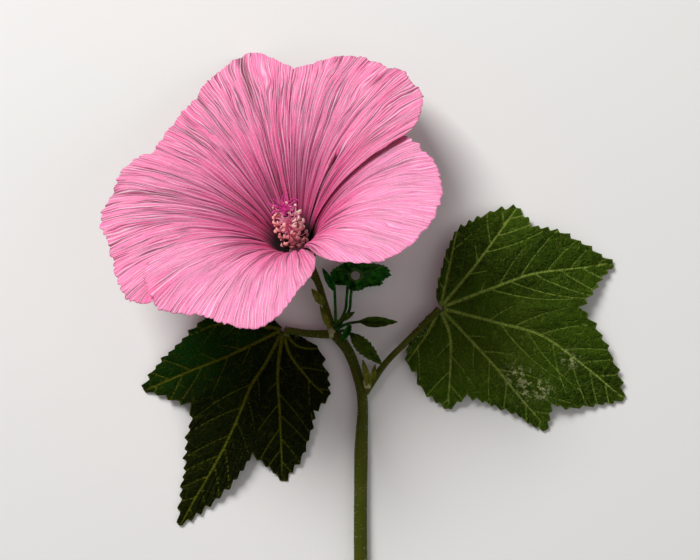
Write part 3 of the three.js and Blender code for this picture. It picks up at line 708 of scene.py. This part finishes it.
def makeColumn():
    profile = np.array(column["profile"])

    def tube(u, v):
        heights = np.interp(v, np.linspace(0, 1, len(profile)), profile[:, 1])
        radii = np.interp(v, np.linspace(0, 1, len(profile)), profile[:, 0])
        radii = radii + 0.06 * np.sin(u * 2 * math.pi * 10)
        return aboutAxis(u * 360, radii, heights), np.stack([u, v], axis=1), {}

    tubeSheet = sheetPiece("staminalTube", 60, 24, tube, closed=True)
    useModifier(tubeSheet, "SOLIDIFY", thickness=0.25 * mm, offset=0.0)
    pieces = [tubeSheet]
    heads = []
    random = np.random.default_rng(5)
    for k in range(column["count"]):
        share = k / (column["count"] - 1)
        azimuth = k * column["turnEach"]
        height = mix(column["lowest"], column["highest"], share)
        reach = column["reach"] * random.uniform(0.72, 1.08)
        rise = column["rise"] * random.uniform(0.5, 1.3)
        root = aboutAxis(azimuth, 0.9, height)
        knee = aboutAxis(azimuth + random.uniform(-6, 12), 0.9 + reach * 0.6, height + rise * 0.35)
        head = aboutAxis(azimuth + random.uniform(-4, 16), 0.9 + reach, height + rise)
        pieces.append(tubePiece("filament", [root, knee, head], [0.15, 0.11, 0.09], 6, 8))
        heads.append((head, azimuth, random.uniform(0, 360), random.uniform(1.0, 1.4)))
    for piece in pieces[1:]:
        piece.data.uv_layers.remove(piece.data.uv_layers[0])
    tubeSheet.data.uv_layers.remove(tubeSheet.data.uv_layers[0])
    filaments = joinPieces("staminalTube", pieces)
    filaments.data.materials.append(filamentPink)
    anthers = copiesPiece("anthers", antherModel(), [antherPlace(*head) for head in heads])
    blush = anthers.data.attributes.new("blush", "FLOAT", "POINT")
    perHead = len(anthers.data.vertices) // len(heads)
    shares = []
    for (head, azimuth, spin, size) in heads:
        # cream on the side that leans to the right, salmon low down and on the left
        side = math.cos(math.radians(azimuth - 20))
        low = 1 - rampUp(4, 15, float((head - flowerBase) @ axis))
        shares.append(np.clip(0.45 - 0.55 * side + 0.55 * low + random.uniform(-0.15, 0.15), 0, 1))
    blush.data.foreach_set("value", np.repeat(shares, perHead))
    anthers.data.materials.append(antherCream)
    return joinPieces("staminal_column", [filaments, anthers])


def antherModel():
    # one kidney-shaped anther with a seam round it, about 1.3 mm long
    deselectAll()
    bpy.ops.mesh.primitive_uv_sphere_add(segments=12, ring_count=8, radius=1.0)
    model = bpy.context.active_object
    for vertex in model.data.vertices:
        x, y, z = vertex.co
        pinch = 1 - 0.22 * math.exp(-(z / 0.25) ** 2)
        vertex.co = (0.72 * x, 0.34 * y * pinch - 0.42 * x * x, 0.42 * z * pinch)
    return model


def antherPlace(centre, azimuth, spin, size):
    out = aboutAxis(azimuth, 1.0, 0.0) - flowerBase
    across = np.cross(axis, out)
    angle = math.radians(spin)
    first = math.cos(angle) * across + math.sin(angle) * axis
    second = np.cross(out, first)
    matrix = np.eye(4)
    matrix[:3, 0] = first * size
    matrix[:3, 1] = out * size
    matrix[:3, 2] = -second * size
    matrix[:3, 3] = centre
    return matrix


def makePistil():
    ovary = [(0.0, -0.6), (1.4, -0.6), (1.6, 0.0), (1.3, 0.7), (0.35, 1.3), (0.35, 8.0),
             (0.33, 18.0), (0.0, 18.2)]
    profile = np.array(ovary)

    def turned(u, v):
        radii = np.interp(v, np.linspace(0, 1, len(profile)), profile[:, 0])
        heights = np.interp(v, np.linspace(0, 1, len(profile)), profile[:, 1])
        return aboutAxis(u * 360, radii, heights), np.stack([u, v], axis=1), {}

    pieces = [sheetPiece("pistil", 24, 56, turned, closed=True)]
    random = np.random.default_rng(11)
    for k in range(pistilShape["stigmas"]):
        azimuth = 360 * k / pistilShape["stigmas"] + random.uniform(-8, 8)
        size = random.uniform(0.78, 1.1)
        curlWay = random.uniform(-10, 10)
        spread = pistilShape["spread"] * size
        rise = pistilShape["rise"] * size
        path = [aboutAxis(azimuth, 0.1, pistilShape["from"]),
                aboutAxis(azimuth, spread * 0.35, pistilShape["from"] + rise * 0.6),
                aboutAxis(azimuth + curlWay, spread * 0.75, pistilShape["from"] + rise * 0.95),
                aboutAxis(azimuth + 3 * curlWay, spread,
                          pistilShape["from"] + rise * random.uniform(0.7, 1.2))]
        pieces.append(tubePiece("stigma", path, [0.24, 0.2, 0.17, 0.12], 8, 14))
    return joinPieces("pistil", pieces)


columnPiece = makeColumn()
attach(columnPiece, "root")
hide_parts("staminal_column")
finishPiece(makePistil(), stigmaMagenta, "stigma", "pistil")
print("flower centre made")


stem = {
    "path": [(3.0, -82.1, 1.9), (2.9, -66.2, 1.9), (3.1, -46.9, 1.9), (3.5, -33.6, 1.95), (1.8, -25.4, 2.1),
             (-0.7, -19.2, 2.4), (-4.4, -14.6, 2.8)],
    "radii": [1.8, 1.8, 1.75, 1.85, 1.4, 1.35, 1.5],
    "ribs": 0.07,
}
stalk = {
    "path": [(-4.4, -14.6, 2.9), (-7.2, -5.5, 3.4), (-9.0, -0.2, 3.9), (-11.6, 4.2, 5.2)],
    "radii": [1.0, 0.92, 0.88, 0.95, 1.6, 3.8],
}
hairs = {"length": 1.5, "radius": 0.03}


def ribbed(depth, seed):
    return lambda angle, along: depth * ringNoise(angle, 22, seed, ribs=True)


def hairModel():
    deselectAll()
    bpy.ops.mesh.primitive_cone_add(
        vertices=3, radius1=hairs["radius"], radius2=0.006, depth=1, location=(0, 0, 0.5))
    model = bpy.context.active_object
    bpy.ops.object.transform_apply(location=True)
    return model


def hairPlaces(path, radii, count, seed, low=0.03, high=0.97):
    random = np.random.default_rng(seed)
    around = random.uniform(0, 1, count)
    along = random.uniform(low, high, count)
    foot = tubePoints(path, radii, around, along)
    centre = tubePoints(path, [0.001] * len(radii), around, along)
    places = []
    for k in range(count):
        out = foot[k] - centre[k]
        out /= np.linalg.norm(out)
        out = out + random.uniform(-0.25, 0.25, 3)
        out /= np.linalg.norm(out)
        first = np.cross(out, [0.3, 0.9, 0.2])
        first /= np.linalg.norm(first)
        matrix = np.eye(4)
        matrix[:3, 0] = first
        matrix[:3, 1] = np.cross(out, first)
        matrix[:3, 2] = out * hairs["length"] * random.uniform(0.45, 1.1)
        matrix[:3, 3] = foot[k]
        if foot[k][2] + matrix[2, 2] > 0.1:
            places.append(matrix)
    return places


def withHairs(piece, finish, places):
    piece.data.materials.clear()
    piece.data.materials.append(finish)
    coat = copiesPiece("hairs", hairModel(), places)
    coat.data.materials.append(hairWhite)
    return joinPieces(piece.name, [piece, coat])


def settle(piece, node):
    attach(piece, "root")
    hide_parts(node)


stemPiece = tubePiece("stem", stem["path"], stem["radii"], 66, 260, ribbed(stem["ribs"], 41))
stemPiece = withHairs(stemPiece, stemGreen, hairPlaces(stem["path"], stem["radii"], 420, 51))
settle(stemPiece, "stem")

stalkPath = stalk["path"] + [tuple(aboutAxis(0, 0, -3.3)), tuple(aboutAxis(0, 0, -1.2))]
stalkPiece = tubePiece("flower_stalk", stalkPath, stalk["radii"], 48, 140, ribbed(0.05, 42))
stalkPiece = withHairs(stalkPiece, stemGreen, hairPlaces(stalkPath[:4], stalk["radii"][:4], 120, 52))
settle(stalkPiece, "flower_stalk")
print("stem made")


leftLeaf = {
    "joint": (-18.3, -13.6, 3.4),
    "stalk": [(-4.6, -14.8, 2.8), (-8.0, -14.9, 2.8), (-12.4, -14.6, 2.7), (-18.0, -13.7, 3.3)],
    "stalkRadii": [1.3, 1.05, 0.95, 1.0],
    "outline": [
        (1.9, -0.6, 2.6), (6.3, -3.1, 2.4), (9.6, -5.5, 1.6), (10.7, -9.6, 2.2), (12.1, -13.7, 1.5),
        (12.4, -18.4, 1.0), (8.3, -22.3, 2.8), (7.4, -27.9, 2.4), (5.3, -34.2, 1.8), (3.1, -37.4, 1.4),
        (-0.1, -42.0, 0.6), (-3.8, -37.9, 2.2), (-8.5, -33.9, 4.2), (-13.7, -41.3, 3.2),
        (-18.7, -46.7, 2.2), (-24.1, -50.8, 1.2), (-28.9, -54.3, 0.4), (-28.0, -46.9, 0.9),
        (-26.8, -39.3, 1.4), (-26.3, -31.0, 2.0), (-24.9, -24.5, 3.0), (-25.4, -20.2, 4.0),
        (-28.7, -19.7, 3.0), (-32.3, -18.3, 1.8), (-38.7, -16.9, 0.6), (-35.3, -11.0, 1.2),
        (-30.1, -5.5, 1.8), (-26.1, -1.7, 2.2), (-21.6, 2.8, 2.4), (-14.4, 5.5, 2.8), (-7.6, 4.7, 3.4),
        (-2.0, 1.7, 3.6),
    ],
    "veins": [
        [(0, 0), (-14.9, -7.2), (-26, -11.6), (-38, -16.7)],
        [(0, 0), (-4.9, -9.4), (-8.8, -15.2), (-11.2, -20.9), (-15.0, -29.7), (-19.4, -38.0), (-28.5, -53.8)],
        [(0, 0), (-1.6, -11.6), (-1.1, -22.6), (-0.4, -41.5)],
        [(0, 0), (1.7, -6.7), (6.6, -13.4), (10.6, -17.6)],
        [(0, 0), (3.0, -4.0), (6.0, -5.2), (9.2, -5.4)],
        [(0, 0), (-9, 1.2), (-18, 1.4), (-25.4, -1.5)],
    ],
    "scars": [], "paleSpots": [(-24.0, -4.0, 11.0, 0.8), (-14.0, 1.0, 8.0, 0.6), (-32.0, -12.0, 8.0, 0.5)],
}
rightLeaf = {
    "joint": (24.7, -7.7, 4.6),
    "stalk": [(3.9, -31.0, 2.3), (9.7, -23.0, 2.9), (15.1, -17.4, 3.4), (20.4, -12.1, 4.0),
              (24.5, -7.9, 4.5)],
    "stalkRadii": [1.3, 0.88, 0.84, 0.82, 0.95],
    "outline": [
        (-1.1, 3.0, 4.6), (1.6, 14.1, 4.2), (4.7, 21.1, 3.4), (11.3, 24.9, 2.6), (14.9, 26.5, 2.0),
        (21.4, 27.6, 0.8), (25.1, 22.4, 3.2), (32.9, 20.8, 3.6), (39.2, 17.7, 2.8), (47.9, 12.2, 0.8),
        (44.6, 8.9, 2.6), (41.9, 4.9, 4.2), (38.0, 0.3, 5.4), (42.7, -5.5, 4.4), (46.2, -11.3, 3.2),
        (49.1, -18.1, 1.8), (51.0, -25.1, 0.5), (43.2, -26.4, 1.8), (35.8, -27.3, 3.0), (30.5, -25.9, 4.4),
        (30.2, -28.9, 2.4), (29.7, -33.6, 0.6), (25.7, -31.3, 1.6), (21.1, -28.6, 2.6), (15.3, -26.6, 2.4),
        (7.6, -23.7, 4.0), (2.4, -27.8, 0.8), (-2.0, -24.4, 2.0), (-4.9, -21.7, 2.6), (-6.3, -17.6, 3.0),
        (-9.0, -14.9, 1.2), (-8.6, -10.4, 2.4), (-5.9, -5.4, 3.6), (-2.2, -1.6, 4.0),
    ],
    "veins": [
        [(0, 0), (9.5, 11.4), (21.2, 27.2)],
        [(0, 0), (12.5, 4.8), (25, 9.3), (36, 10.8), (47.4, 12.2)],
        [(0, 0), (16.2, -4.1), (27.5, -7.3), (36.9, -13.6), (50.6, -24.7)],
        [(0, 0), (13.0, -13.6), (20.5, -22.5), (29.5, -33.2)],
        [(0, 0), (2.7, -7.4), (3.0, -15), (2.4, -27)],
        [(0, 0), (-3.4, -7.0), (-8.7, -14.6)],
        [(0, 0), (1.8, 8.0), (4.6, 20.6)],
    ],
    "scars": [(21.0, -18.5, 2.6), (24.5, -20.5, 3.0), (27.5, -22.5, 2.6), (36.0, -14.0, 2.0),
              (23.5, -23.5, 2.2)],
    "paleSpots": [(24.0, -3.5, 5.0, 0.35), (13.0, -16.0, 7.0, 0.35), (6.0, -14.0, 6.0, 0.3),
                  (20.0, -12.0, 8.0, 0.3)],
}
leafShape = {
    "spokesPerMm": 2.6, "rings": 84, "toothPitch": 3.0, "toothDepth": 1.05, "thickness": 0.28,
    "veinWidth": 0.42, "sideVeinWidth": 0.24, "sideVeinEvery": 6.5, "sideVeinAngle": 46, "quilt": 0.55,
}


def toothedOutline(outline):
    # the outline with teeth that lean to the tip of each lobe, as points and distances between them
    corners = np.array(outline)
    random = np.random.default_rng(len(outline))
    result = []
    for k in range(len(corners) - 1):
        here, there = corners[k], corners[k + 1]
        side = there - here
        length = np.hypot(side[0], side[1])
        teeth = max(1, round(length / leafShape["toothPitch"]))
        steps = max(6, round(length * leafShape["spokesPerMm"]))
        out = np.array([-side[1], side[0], 0]) / length
        climbs = np.hypot(*there[:2]) > np.hypot(*here[:2])
        sharp = 0.78 if climbs else 0.22
        sizes = random.uniform(0.55, 1.25, teeth + 1)
        for step in range(steps):
            share = step / steps
            phase = (share * teeth) % 1
            rise = phase / sharp if phase < sharp else (1 - phase) / (1 - sharp)
            depth = leafShape["toothDepth"] * sizes[int(share * teeth)]
            result.append(here + side * share + out * depth * rise ** 1.3)
    result.append(corners[-1])
    result = np.array(result)
    # no spoke of the blade folds back over its neighbour
    far = np.hypot(result[:, 0], result[:, 1])
    angles = np.unwrap(np.arctan2(result[:, 1], result[:, 0]))
    angles = angles[0] - np.maximum.accumulate(angles[0] - angles + 1e-5 * np.arange(len(angles)))
    result[:, 0] = far * np.cos(angles)
    result[:, 1] = far * np.sin(angles)
    return result


def nearLine(points, line, startWidth, endWidth):
    # how strongly each point lies on a tapering vein, 0 to 1, and its distance from it
    line = np.asarray(line, float)
    lengths = np.linalg.norm(np.diff(line, axis=0), axis=1)
    run = np.concatenate([[0], np.cumsum(lengths)]) / lengths.sum()
    best = np.full(len(points), 1e9)
    place = np.zeros(len(points))
    for k in range(len(line) - 1):
        step = line[k + 1] - line[k]
        t = np.clip(((points - line[k]) @ step) / (step @ step), 0, 1)
        away = np.linalg.norm(points - line[k] - t[:, None] * step, axis=1)
        closer = away < best
        best = np.where(closer, away, best)
        place = np.where(closer, mix(run[k], run[k + 1], t), place)
    width = mix(startWidth, endWidth, place)
    return np.exp(-(best / width) ** 2), best


def sideVeins(mainVeins, seed):
    random = np.random.default_rng(seed)
    mains = [smoothLine(vein, np.linspace(0, 1, 30)) for vein in mainVeins]
    found = []
    for own, line in enumerate(mains):
        lengths = np.linalg.norm(np.diff(line, axis=0), axis=1)
        total = lengths.sum()
        if total < 12:
            continue
        at = 0.24 * total
        flip = 1
        while at < 0.94 * total:
            share = at / total
            start = smoothLine(mainVeins[own], np.array([share]))[0]
            ahead = smoothLine(mainVeins[own], np.array([min(share + 0.03, 1)]))[0] - start
            angle = math.atan2(ahead[1], ahead[0]) + flip * math.radians(
                leafShape["sideVeinAngle"] + random.uniform(-5, 5))
            points = [start]
            for step in range(12):
                angle -= flip * math.radians(2.0)
                nextPoint = points[-1] + 1.9 * np.array([math.cos(angle), math.sin(angle)])
                ownDistance = np.linalg.norm(line - nextPoint, axis=1).min()
                others = [np.linalg.norm(other - nextPoint, axis=1).min()
                          for k, other in enumerate(mains) if k != own]
                if ownDistance > min(others) - 0.6:
                    break
                points.append(nextPoint)
            if len(points) > 2:
                found.append(points)
            at += leafShape["sideVeinEvery"] * random.uniform(0.4, 0.66)
            flip = -flip
    return found


def makeLeaf(name, leaf, seed):
    edge = toothedOutline(leaf["outline"])
    joint = np.array(leaf["joint"])
    rings = leafShape["rings"]
    spokes = len(edge) - 1
    smaller = sideVeins(leaf["veins"], seed)

    def place(u, v):
        column = np.clip(np.rint(u * spokes).astype(int), 0, spokes)
        rim = edge[column]
        far = np.hypot(rim[:, 0], rim[:, 1])
        share = v ** 0.85
        scale = mix(0.7, far, share) / far
        flat = rim[:, :2] * scale[:, None]
        height = mix(joint[2], rim[:, 2], share ** 1.4)
        vein = np.zeros(len(u))
        nearest = np.full(len(u), 1e9)
        for line in leaf["veins"]:
            dense = smoothLine(line, np.linspace(0, 1, 24))
            strength, away = nearLine(flat, dense, leafShape["veinWidth"] * 1.5, leafShape["veinWidth"] * 0.6)
            vein = np.maximum(vein, strength)
            nearest = np.minimum(nearest, away)
        for line in smaller:
            strength, away = nearLine(flat, line, leafShape["sideVeinWidth"] * 1.2,
                                      leafShape["sideVeinWidth"] * 0.6)
            vein = np.maximum(vein, 0.75 * strength)
            nearest = np.minimum(nearest, away + 0.25)
        toEdge = far * (1 - scale)
        puff = leafShape["quilt"] * (1 - np.exp(-(nearest / 1.8) ** 2)) * rampUp(0, 3.0, toEdge)
        curl = 0.35 * np.sin(flat[:, 0] / 4.1 + flat[:, 1] / 5.3) * rampUp(0.3, 0.9, share)
        height = height + puff - 0.2 * vein + curl - 0.2
        height = np.maximum(height, 0.25)
        edgeGlow = np.exp(-(toEdge / 0.28) ** 2)
        scar = np.zeros(len(u))
        for x, y, size in leaf["scars"]:
            scar = np.maximum(scar, np.exp(-(((flat[:, 0] - x) ** 2 + (flat[:, 1] - y) ** 2) / size ** 2)))
        pale = np.zeros(len(u))
        for x, y, size, much in leaf["paleSpots"]:
            pale = np.maximum(
                pale, much * np.exp(-(((flat[:, 0] - x) ** 2 + (flat[:, 1] - y) ** 2) / size ** 2)))
        points = np.column_stack([joint[0] + flat[:, 0], joint[1] + flat[:, 1], height])
        return points, np.stack([u, v], axis=1), {"vein": vein, "edge": edgeGlow, "scar": scar, "pale": pale}

    blade = sheetPiece(name, spokes, rings, place, leafShape["thickness"])
    stalkPiece = tubePiece("leafStalk", leaf["stalk"], leaf["stalkRadii"], 44, 120, ribbed(0.05, seed + 1))
    stalkPiece = withHairs(stalkPiece, stemGreen,
                           hairPlaces(leaf["stalk"], leaf["stalkRadii"], 160, seed + 2))
    return blade, stalkPiece


for leafName, leaf, seed, finish in (("left_leaf", leftLeaf, 60, leftLeafGreen),
                                     ("right_leaf", rightLeaf, 70, rightLeafGreen)):
    blade, leafStalk = makeLeaf(leafName, leaf, seed)
    blade.data.materials.append(finish)
    settle(joinPieces(leafName, [blade, leafStalk]), leafName)
print("leaves made")


smallBlades = {
    "young_leaf_toothed": {
        "from": (0.2, -14.7, 4.6), "to": (8.8, -23.2, 4.9), "arch": 1.8,
        "halfWidth": 2.8, "fold": 38, "teeth": 9,
        "foot": 0.5, "stalk": [(-3.6, -14.2, 3.9), (-1.2, -13.9, 4.6), (0.5, -14.9, 4.7)],
    },
    "young_leaf_pointed": {
        "from": (2.6, -11.4, 3.8), "to": (13.0, -11.5, 3.8), "arch": 1.6, "halfWidth": 2.4, "fold": 54,
        "teeth": 0, "foot": 0.6, "stalk": [(-3.8, -13.6, 3.2), (-0.6, -12.0, 3.4), (3.0, -11.4, 3.9)],
    },
    "young_leaf_small": {
        "from": (-4.1, -3.0, 6.0), "to": (-7.5, 3.2, 6.0), "arch": 0.7,
        "halfWidth": 1.3, "fold": 34, "teeth": 4,
        "foot": 0.4, "stalk": [(-3.9, -13.8, 4.0), (-4.0, -8.0, 4.8), (-4.2, -2.7, 6.0)],
    },
    "young_leaf_folded": {
        "from": (0.2, -12.3, 5.4), "to": (-2.4, -17.2, 5.2), "arch": 0.4, "halfWidth": 1.3, "fold": 48,
        "teeth": 0, "foot": 0.4, "stalk": [(-3.6, -13.6, 4.2), (-1.4, -12.2, 5.4), (0.1, -12.6, 5.45)],
    },
    "young_leaf_slender": {
        "from": (-2.6, -10.9, 4.6), "to": (1.2, -8.8, 4.6), "arch": 1.0, "halfWidth": 1.0, "fold": 30,
        "teeth": 0, "foot": 0.4, "stalk": [(-4.3, -13.6, 3.8), (-3.6, -11.8, 4.5), (-2.4, -10.8, 4.65)],
    },
    "stipule_fork_long": {
        "from": (5.2, -28.8, 4.0), "to": (3.5, -21.9, 5.2), "arch": 0.7, "halfWidth": 1.0, "fold": 25,
        "teeth": 0, "foot": 0.9, "knob": (4.8, -28.3, 2.9, 1.5),
    },
    "stipule_fork_curled": {
        "from": (6.0, -28.0, 3.7), "to": (6.9, -23.2, 4.0), "arch": 0.9, "halfWidth": 1.0, "fold": 45,
        "teeth": 0, "foot": 0.6,
    },
    "stipule_joint_lower": {
        "from": (-5.6, -13.2, 4.2), "to": (-8.2, -7.0, 4.9), "arch": 0.6, "halfWidth": 0.9, "fold": 30,
        "teeth": 0, "foot": 0.6, "knob": (-5.0, -14.4, 3.0, 1.45),
    },
    "stipule_joint_upper": {
        "from": (-7.2, -6.8, 4.3), "to": (-10.5, -2.4, 5.2), "arch": 0.5, "halfWidth": 1.3, "fold": 20,
        "teeth": 3, "foot": 0.4,
    },
}
# The young leaf that is curled round into a ring, from the hole at its middle to its lobed edge.
curledLeaf = {
    "middle": (1.5, 1.2, 3.6), "hole": 1.3, "cup": 1.9, "ruffle": 1.2, "thickness": 0.25,
    "edge": [(0, 9.9), (14, 9.4), (32, 6.4), (56, 4.6), (79, 4.2), (112, 4.4), (148, 5.4), (172, 7.0),
             (198, 6.9), (225, 4.0), (257, 4.3), (290, 4.4), (317, 4.6), (340, 7.8), (350, 7.9)],
    "stalks": [[(-4.0, -13.4, 2.6), (-1.4, -8.6, 2.4), (-0.9, -4.6, 2.9), (-0.6, -1.2, 3.7)],
               [(-3.8, -13.4, 2.3), (-0.4, -8.8, 2.1), (0.2, -4.6, 2.5), (0.5, -1.4, 3.4)]],
}


def makeSmallBlade(name, blade):
    start, end = np.array(blade["from"]), np.array(blade["to"])
    ahead = (end - start) * [1, 1, 0]
    ahead /= np.linalg.norm(ahead)
    across = np.array([-ahead[1], ahead[0], 0])
    fold = math.radians(blade["fold"])
    ruffle = blade.get("ruffle", 0)

    def place(u, v):
        centre = start + v[:, None] * (end - start)
        centre[:, 2] += 4 * blade["arch"] * v * (1 - v)
        tooth = 1 - 0.20 * ((v * blade["teeth"]) % 1) if blade["teeth"] else np.ones(len(v))
        width = np.maximum(blade["halfWidth"] * np.sin(math.pi * v ** 0.75) ** 0.9 * tooth,
                           np.maximum(blade["foot"] * (1 - v), 0.08))
        side = 2 * u - 1
        raised = np.abs(side) * width * math.sin(fold) + ruffle * side ** 2 * np.sin(9 * v + 2 * side)
        raised = raised + 0.12 * np.sin(math.pi * (9 * v - 3 * np.abs(side))) * rampUp(0.1, 0.5, np.abs(side))
        points = centre + (side * width * math.cos(fold))[:, None] * across
        points[:, 2] += raised
        return points, np.stack([u, v], axis=1), {}

    parts = [sheetPiece(name, 40, 90, place, 0.25)]
    if "stalk" in blade:
        parts.append(tubePiece("youngStalk", blade["stalk"], [0.42, 0.4, 0.38], 14, 40))
    if "knob" in blade:
        parts.append(makeKnob(blade["knob"]))
    return joinPieces(name, parts)


def makeKnob(knob):
    # the pale swelling that a stipule grows from
    centre, size = np.array(knob[:3]), knob[3]

    def place(u, v):
        turned, rise = u * 2 * math.pi, (v - 0.5) * math.pi
        radius = size * (1 + 0.06 * np.sin(5 * turned))
        points = np.column_stack([0.85 * radius * np.cos(rise) * np.cos(turned),
                                  1.25 * radius * np.cos(rise) * np.sin(turned), radius * np.sin(rise)])
        return centre + points, np.stack([u, v], axis=1), {"pale": 0.35 + 0.5 * rampUp(0.5, 0.9, v)}
    return sheetPiece("swelling", 32, 20, place, closed=True)


def makeCurledLeaf(name, leaf):
    line = np.array([(reach * math.cos(math.radians(turn)), reach * math.sin(math.radians(turn)))
                     for turn, reach in leaf["edge"] + leaf["edge"][:1]])

    def place(u, v):
        rim = smoothLine(line, u)
        angle = np.arctan2(rim[:, 1], rim[:, 0])
        tooth = 1 - 0.07 * ((u * 34) % 1) * rampUp(0.6, 1.0, v)
        reach = mix(leaf["hole"], np.hypot(rim[:, 0], rim[:, 1]) * tooth, v)
        height = leaf["cup"] * (1 - v) ** 2 + leaf["ruffle"] * v * np.sin(7 * angle)
        height = (height + 0.5 * v * np.sin(17 * angle + 2)
                  + 0.35 * np.sin(9 * v + 3 * angle) * rampUp(0, 0.4, v))
        points = (np.array(leaf["middle"])
                  + np.column_stack([reach * np.cos(angle), reach * np.sin(angle), height]))
        return points, np.stack([(u * 6) % 1, v], axis=1), {"pale": 0.12 * np.exp(-(v / 0.12) ** 2)}

    blade = sheetPiece(name, 260, 50, place, closed=True)
    useModifier(blade, "SOLIDIFY", thickness=leaf["thickness"] * mm, offset=0.0)
    stalks = [tubePiece("youngStalk", path, [0.42, 0.4, 0.38, 0.4], 14, 60) for path in leaf["stalks"]]
    return joinPieces(name, [blade] + stalks)


for bladeName, blade in smallBlades.items():
    if bladeName.startswith("stipule"):
        finishPiece(makeSmallBlade(bladeName, blade), stipuleGreen, "stipule", bladeName)
    else:
        fresh = bladeName in ("young_leaf_small", "young_leaf_folded")
        finishPiece(makeSmallBlade(bladeName, blade), freshGreen if fresh else youngGreen,
                    "young_leaf", bladeName)
finishPiece(makeCurledLeaf("young_leaf_curled", curledLeaf), freshGreen, "young_leaf", "young_leaf_curled")
print("young growth made")


def placeStage():
    deselectAll()
    bpy.ops.mesh.primitive_plane_add(size=4, location=(0, 0, 0))
    floor = bpy.context.active_object
    floor.name = "floor"
    n = Nodes("paleFloor")
    soft = n.noise(n.objectMap(), 6.0, 2.0)
    floor.data.materials.append(n.finish(n.blend(soft, (0.80, 0.79, 0.77), (0.84, 0.83, 0.81)), 0.9))

    world = bpy.data.worlds.new("studio")
    bpy.context.scene.world = world
    world.use_nodes = True
    world.node_tree.nodes["Background"].inputs["Color"].default_value = (1.0, 0.99, 0.98, 1)
    world.node_tree.nodes["Background"].inputs["Strength"].default_value = 0.23

    for name, place, size, power in (("key", (-0.42, 0.62, 0.72), 0.4, 10.4),
                                     ("fill", (0.8, -0.3, 0.7), 0.9, 1.5)):
        deselectAll()
        bpy.ops.object.light_add(type="AREA", location=place)
        lamp = bpy.context.active_object
        lamp.name = name
        lamp.data.size = size
        lamp.data.energy = power
        aim = -lamp.location.normalized()
        lamp.rotation_euler = aim.to_track_quat("-Z", "Y").to_euler()


def placeCamera():
    # straight above the sprig
    deselectAll()
    bpy.ops.object.camera_add(location=tuple(toFrame(np.array([0.0, 0.0, 492.0]))), rotation=(0, 0, 0))
    camera = bpy.context.active_object
    camera.data.sensor_width = 36
    camera.data.lens = 36 * 480 / 189
    camera.data.clip_start = 0.01
    bpy.context.scene.camera = camera


placeStage()
placeCamera()
bpy.context.scene.view_settings.view_transform = "Standard"
